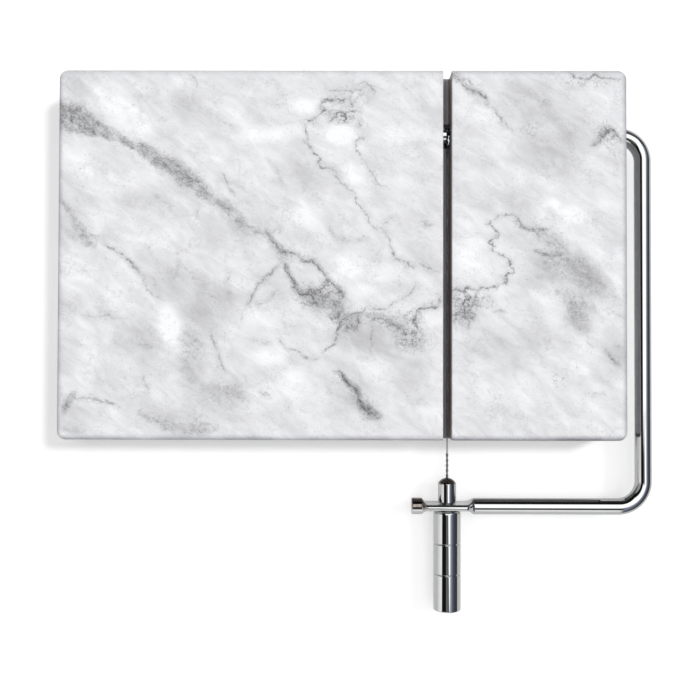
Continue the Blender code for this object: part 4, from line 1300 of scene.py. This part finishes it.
def build_tension_bolt():
    """The bolt along Z: its domed head below z = 0, and its hollow threaded shank above."""
    segments = 64
    undercut, lead_in, chamfer = 0.6 * MM, 0.5 * MM, 0.3 * MM
    shape = bmesh.new()
    neck, root = thread_rings(shape, undercut, SHANK_LENGTH - lead_in, segments)
    dome_radius = (HEAD_RADIUS**2 + DOME_HEIGHT**2) / (2 * DOME_HEIGHT)
    dome_centre = dome_radius - HEAD_LENGTH
    rim = math.degrees(math.asin(HEAD_RADIUS / dome_radius))
    hole = math.degrees(math.asin(WIRE_HOLE_RADIUS / dome_radius))
    inside = DOME_WALL - HEAD_LENGTH
    edge = 0.2 * MM
    outline = arc((HEAD_RADIUS - edge, -edge), edge, 90, 0, 4)
    outline += arc((0, dome_centre), dome_radius, rim - 90, hole - 90, 16)
    outline += [(WIRE_HOLE_RADIUS, inside), (SHANK_BORE_RADIUS, inside)]
    outline += [(SHANK_BORE_RADIUS, SHANK_LENGTH), (THREAD_ROOT_RADIUS - chamfer, SHANK_LENGTH)]
    collar = [shape.verts.new(point) for point in circle(THREAD_ROOT_RADIUS, 0, segments)]
    rings = [neck, collar]
    for radius, height in braced(outline):
        rings.append([shape.verts.new(point) for point in circle(radius, height, segments)])
    rings.append(root)
    for lower, upper in zip(rings, rings[1:]):
        skin(shape, lower, upper)
    bmesh.ops.remove_doubles(shape, verts=shape.verts, dist=0.001 * MM)
    place = WIRE_PIVOT - Vector((0, HEAD_SEAT, 0))
    return add_piece("domed_bolt", placed(shape, place, TOWARDS_USER), bolt_chrome)


def groove_profile(middle):
    """A turned groove with soft lips and a hollow floor."""
    low, high = middle - GROOVE_WIDTH / 2, middle + GROOVE_WIDTH / 2
    floor = HANDLE_RADIUS - GROOVE_DEPTH
    hollow = (GROOVE_WIDTH - GROOVE_LIP) / 2
    points = arc((HANDLE_RADIUS - GROOVE_LIP, low), GROOVE_LIP, 0, 60, 3)
    points += arc((floor + hollow, middle), hollow, 225, 135, 6)
    points += arc((HANDLE_RADIUS - GROOVE_LIP, high), GROOVE_LIP, -60, 0, 3)
    return points


def build_handle():
    """The handle along Z, from the end that bears on the eye to the free end."""
    outer = HANDLE_RADIUS
    point = TAPPING_RADIUS / math.tan(DRILL_POINT)
    outline = [
        (0, TAPPING_DEPTH + point),
        (TAPPING_RADIUS, TAPPING_DEPTH),
        (TAPPING_RADIUS, COUNTERSINK),
        (TAPPING_RADIUS + COUNTERSINK, 0),
    ]
    rounding = HANDLE_TOP_ROUNDING
    outline += arc((outer - rounding, rounding), rounding, -90, 0, 12)
    for groove in GROOVES:
        outline += groove_profile(groove)
    rounding = HANDLE_END_ROUNDING
    outline += arc((outer - rounding, HANDLE_LENGTH - rounding), rounding, 0, 90, 8)
    outline += [(0, HANDLE_LENGTH)]
    return add_piece("grip", placed(turned(outline), SEAT, TOWARDS_USER), handle_chrome)


hand_in(build_tension_bolt(), "bolt", "tension_bolt")
hand_in(build_handle(), "handle", "handle")


# Bushings and feet ----------------------------------------------------------------------------


def make_nylon():
    """Black nylon as moulded: slightly mottled, with a soft sheen and a fine orange peel."""
    g = Material("black_nylon")
    place = g.millimetres(PIVOT)
    mottle = g.noise(place, 1.4, 3, 0.6)
    black = g.mix(mottle, colour(0.012, 0.012, 0.013), colour(0.03, 0.03, 0.032))
    roughness = g.ramp(mottle, 0.3, 0.7, 0.38, 0.55)
    return g.finish(black, roughness, g.noise(place, 0.35, 2), 0.02 * MM, 0.6)


def make_rubber():
    """Frosted grey rubber with dust on it."""
    g = Material("foot_rubber")
    place = g.millimetres((0, 0, 0))
    dust = g.ramp(g.noise(place, 2.2, 4, 0.65), 0.45, 0.7)
    rubber = g.mix(dust, colour(0.24, 0.24, 0.25), colour(0.36, 0.36, 0.37))
    roughness = g.ramp(dust, 0.0, 1.0, 0.55, 0.8)
    return g.finish(rubber, roughness, g.noise(place, 0.25, 3, 0.6), 0.03 * MM, 0.7)


def build_bushing(name, node, nylon):
    """A plain sleeve, pressed into the bore, that the rod turns in."""
    low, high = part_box(node)
    inner, outer, length = BUSHING_BORE_RADIUS, BUSHING_RADIUS, high.x - low.x
    edge = BUSHING_CHAMFER
    outline = arc((inner + edge, edge), edge, 180, 270, 5)
    outline += arc((outer - edge, edge), edge, -90, 0, 5)
    outline += arc((outer - edge, length - edge), edge, 0, 90, 5)
    outline += arc((inner + edge, length - edge), edge, 90, 180, 5)
    place = (low.x, PIVOT.y, PIVOT.z)
    return add_piece(name, placed(turned(outline), place, ALONG_X), nylon)


def build_foot(name, node, rubber):
    """A stick-on bumper, wider where it meets the board, with a shallow dish under it."""
    low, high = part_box(node)
    radius, top = (high.x - low.x) / 2, high.z - low.z
    tread = radius - FOOT_TREAD_INSET
    dish_radius, dish_depth = tread - 1.6 * MM, 0.25 * MM
    edge = 0.3 * MM
    outline = [(0, dish_depth), (dish_radius * 0.7, dish_depth), (dish_radius, 0)]
    outline += arc((tread - FOOT_ROUNDING, FOOT_ROUNDING), FOOT_ROUNDING, -90, 0, 6)
    outline += arc((radius - edge, top - edge), edge, 0, 90, 4)
    outline += [(0, top)]
    place = ((low.x + high.x) / 2, (low.y + high.y) / 2, low.z)
    return add_piece(name, placed(turned(outline, segments=64), place), rubber)


black_nylon = make_nylon()
foot_rubber = make_rubber()
for side in ("outer", "inner"):
    sleeve = build_bushing(f"{side}_sleeve", f"{side}_bushing", black_nylon)
    hand_in(sleeve, "board", f"{side}_bushing")
for corner in ("front_left", "front_right", "rear_left", "rear_right"):
    bumper = build_foot(f"bumper_{corner}", f"foot_{corner}", foot_rubber)
    hand_in(bumper, "board", f"foot_{corner}")


# Stage ----------------------------------------------------------------------------------------

CAMERA_PLACE = Vector((-1.85, -8.23, 331.76)) * MM
CAMERA_TILT = (0.94, 0.21, 0.14)  # degrees off straight down
CAMERA_LENS = 42.15
SLANTING = Vector((0.62, 0.29, 1.0))  # where the key light comes from
OVERHEAD = Vector((0.04, 0.08, 1.0))


def build_floor():
    """A pale table, glowing a little so that only soft shadows show on it."""
    shape = bmesh.new()
    bmesh.ops.create_grid(shape, x_segments=8, y_segments=8, size=3.0)
    g = Material("pale_floor")
    glossy = g.node("LightPath").outputs["Is Glossy Ray"]
    table = g.mix(g.noise(g.millimetres((0, 0, 0)), 60), grey(0.89), grey(0.91))
    inputs = g.shader.inputs
    # Painted reflection: polished pieces see the floor as a plain, dimmer grey without its glow.
    g.feed(inputs["Base Color"], g.mix(glossy, table, grey(0.80)))
    g.feed(inputs["Emission Strength"], g.ramp(glossy, 0.0, 1.0, 0.15, 0.0))
    inputs["Emission Color"].default_value = grey(1.0)
    inputs["Roughness"].default_value = 0.9
    inputs["Specular IOR Level"].default_value = 0.0
    add_piece("floor", shape, g.material)


def polished_surroundings(g, direction):
    """What chrome shows: the panels and the dark gaps round the set.

    A panel's place is given by how far the direction leans to the right and to the back, in degrees.
    """
    right = g.times(g.math("ARCSINE", direction[0]), math.degrees(1))
    back = g.times(g.math("ARCSINE", direction[1]), math.degrees(1))
    slanted = g.add(right, g.times(back, -0.35))
    right_edge = g.ramp(slanted, 22, 28, 1.0, 0.0)

    top_panel = g.times(g.times(g.ramp(right, -22, -13), right_edge), g.within(back, -7, -2, 29, 36))
    tongue = g.times(g.ramp(g.add(right, back), -8, -2.5), right_edge)
    tongue = g.times(tongue, g.within(back, -20, -15, -5, 0))
    card = g.times(g.within(right, -15.5, -11.5, 4, 10), g.within(back, -26, -20, -6, -2))
    front_wall = g.times(g.ramp(back, -45, -39, 1.0, 0.0), g.ramp(back, -80, -45, 0.85, 1.4))
    front_wall = g.times(front_wall, g.ramp(right, 17, 25, 1.0, 0.06))
    left_wall = g.times(g.ramp(right, -50, -44, 1.0, 0.0), g.ramp(back, -12, 6, 1.38, 0.5))
    left_wall = g.times(left_wall, g.ramp(right, -80, -55, 0.75, 1.0))
    back_glow = g.times(g.ramp(back, 60, 80), 0.11)
    front_gap = g.times(g.ramp(back, -28, -18, 1.0, 0.0), 0.06)
    light = g.math("MAXIMUM", g.times(g.math("MAXIMUM", top_panel, tongue), 1.95), g.times(card, 0.2))
    for panel in (front_wall, left_wall, back_glow, front_gap):
        light = g.math("MAXIMUM", light, panel)

    # The wall on the right falls off outwards, and is a little blue.
    fall_off = g.math("EXPONENT", g.times(g.add(slanted, -26.0), -1 / 11))
    right_side = g.math("MINIMUM", g.add(g.times(fall_off, 0.90), 0.05), 1.05)
    right_side = g.times(g.times(g.ramp(right, 18, 24), right_side), g.ramp(back, 20, 34, 1.0, 0.12))
    bluish = g.math("GREATER_THAN", right_side, light)
    light = g.add(g.math("MAXIMUM", light, right_side), 0.012)
    tint = g.mix(bluish, grey(1.0), colour(0.88, 0.96, 1.20))
    tint = g.mix(g.ramp(back, 40, 75), tint, colour(1.0, 0.90, 0.80))
    return g.node("Background", tint, light).outputs[0]


def build_world():
    """A white room for what is matt, panels for what is polished, and a white backdrop."""
    world = bpy.data.worlds.new("studio")
    bpy.context.scene.world = world
    world.use_nodes = True
    world.node_tree.nodes.clear()
    g = Graph(world.node_tree)
    direction = g.parts(g.node("TexCoord").outputs["Generated"])
    # What is matt sees a sky that is brighter overhead and to the back.
    overhead = g.ramp(direction[2], 0.25, 0.95, 0.16, 1.15)
    sky = g.times(overhead, g.add(g.times(direction[1], 0.40), g.add(g.times(direction[0], 0.1), 1.0)))
    matt = g.node("Background", grey(1.0), g.times(sky, 0.66)).outputs[0]
    backdrop = g.node("Background", grey(1.0), 1.0).outputs[0]
    rays = g.node("LightPath").outputs
    shown = g.node("MixShader", rays["Is Glossy Ray"], matt, polished_surroundings(g, direction))
    shown = g.node("MixShader", rays["Is Camera Ray"], shown.outputs[0], backdrop)
    g.node("OutputWorld", shown.outputs[0])


def hang_lamps():
    """Soft suns. The rods break up only part of the broad key light: the board alone blocks the rest."""
    blockers = bpy.data.collections.new("board_only")
    blockers.objects.link(board)
    for name, energy, spread, comes_from, blocked_by in (
        ("key_light", 1.02, 9, SLANTING, blockers),
        ("rim_light", 0.32, 9, SLANTING, None),
        ("top_light", 0.55, 25, OVERHEAD, None),
    ):
        lamp = bpy.data.objects.new(name, bpy.data.lights.new(name, "SUN"))
        bpy.context.scene.collection.objects.link(lamp)
        lamp.data.energy = energy
        lamp.data.angle = math.radians(spread)
        lamp.rotation_euler = comes_from.to_track_quat("Z", "Y").to_euler()
        lamp.visible_glossy = False
        if blocked_by:
            lamp.light_linking.blocker_collection = blocked_by


def add_camera():
    """A camera high above the cutter, looking straight down at it."""
    camera = bpy.data.objects.new("camera", bpy.data.cameras.new("camera"))
    bpy.context.scene.collection.objects.link(camera)
    camera.data.sensor_width = 36
    camera.data.lens = CAMERA_LENS
    camera.location = CAMERA_PLACE
    camera.rotation_euler = [math.radians(angle) for angle in CAMERA_TILT]
    bpy.context.scene.camera = camera


build_floor()
build_world()
hang_lamps()
add_camera()
bpy.context.scene.view_settings.view_transform = "Standard"
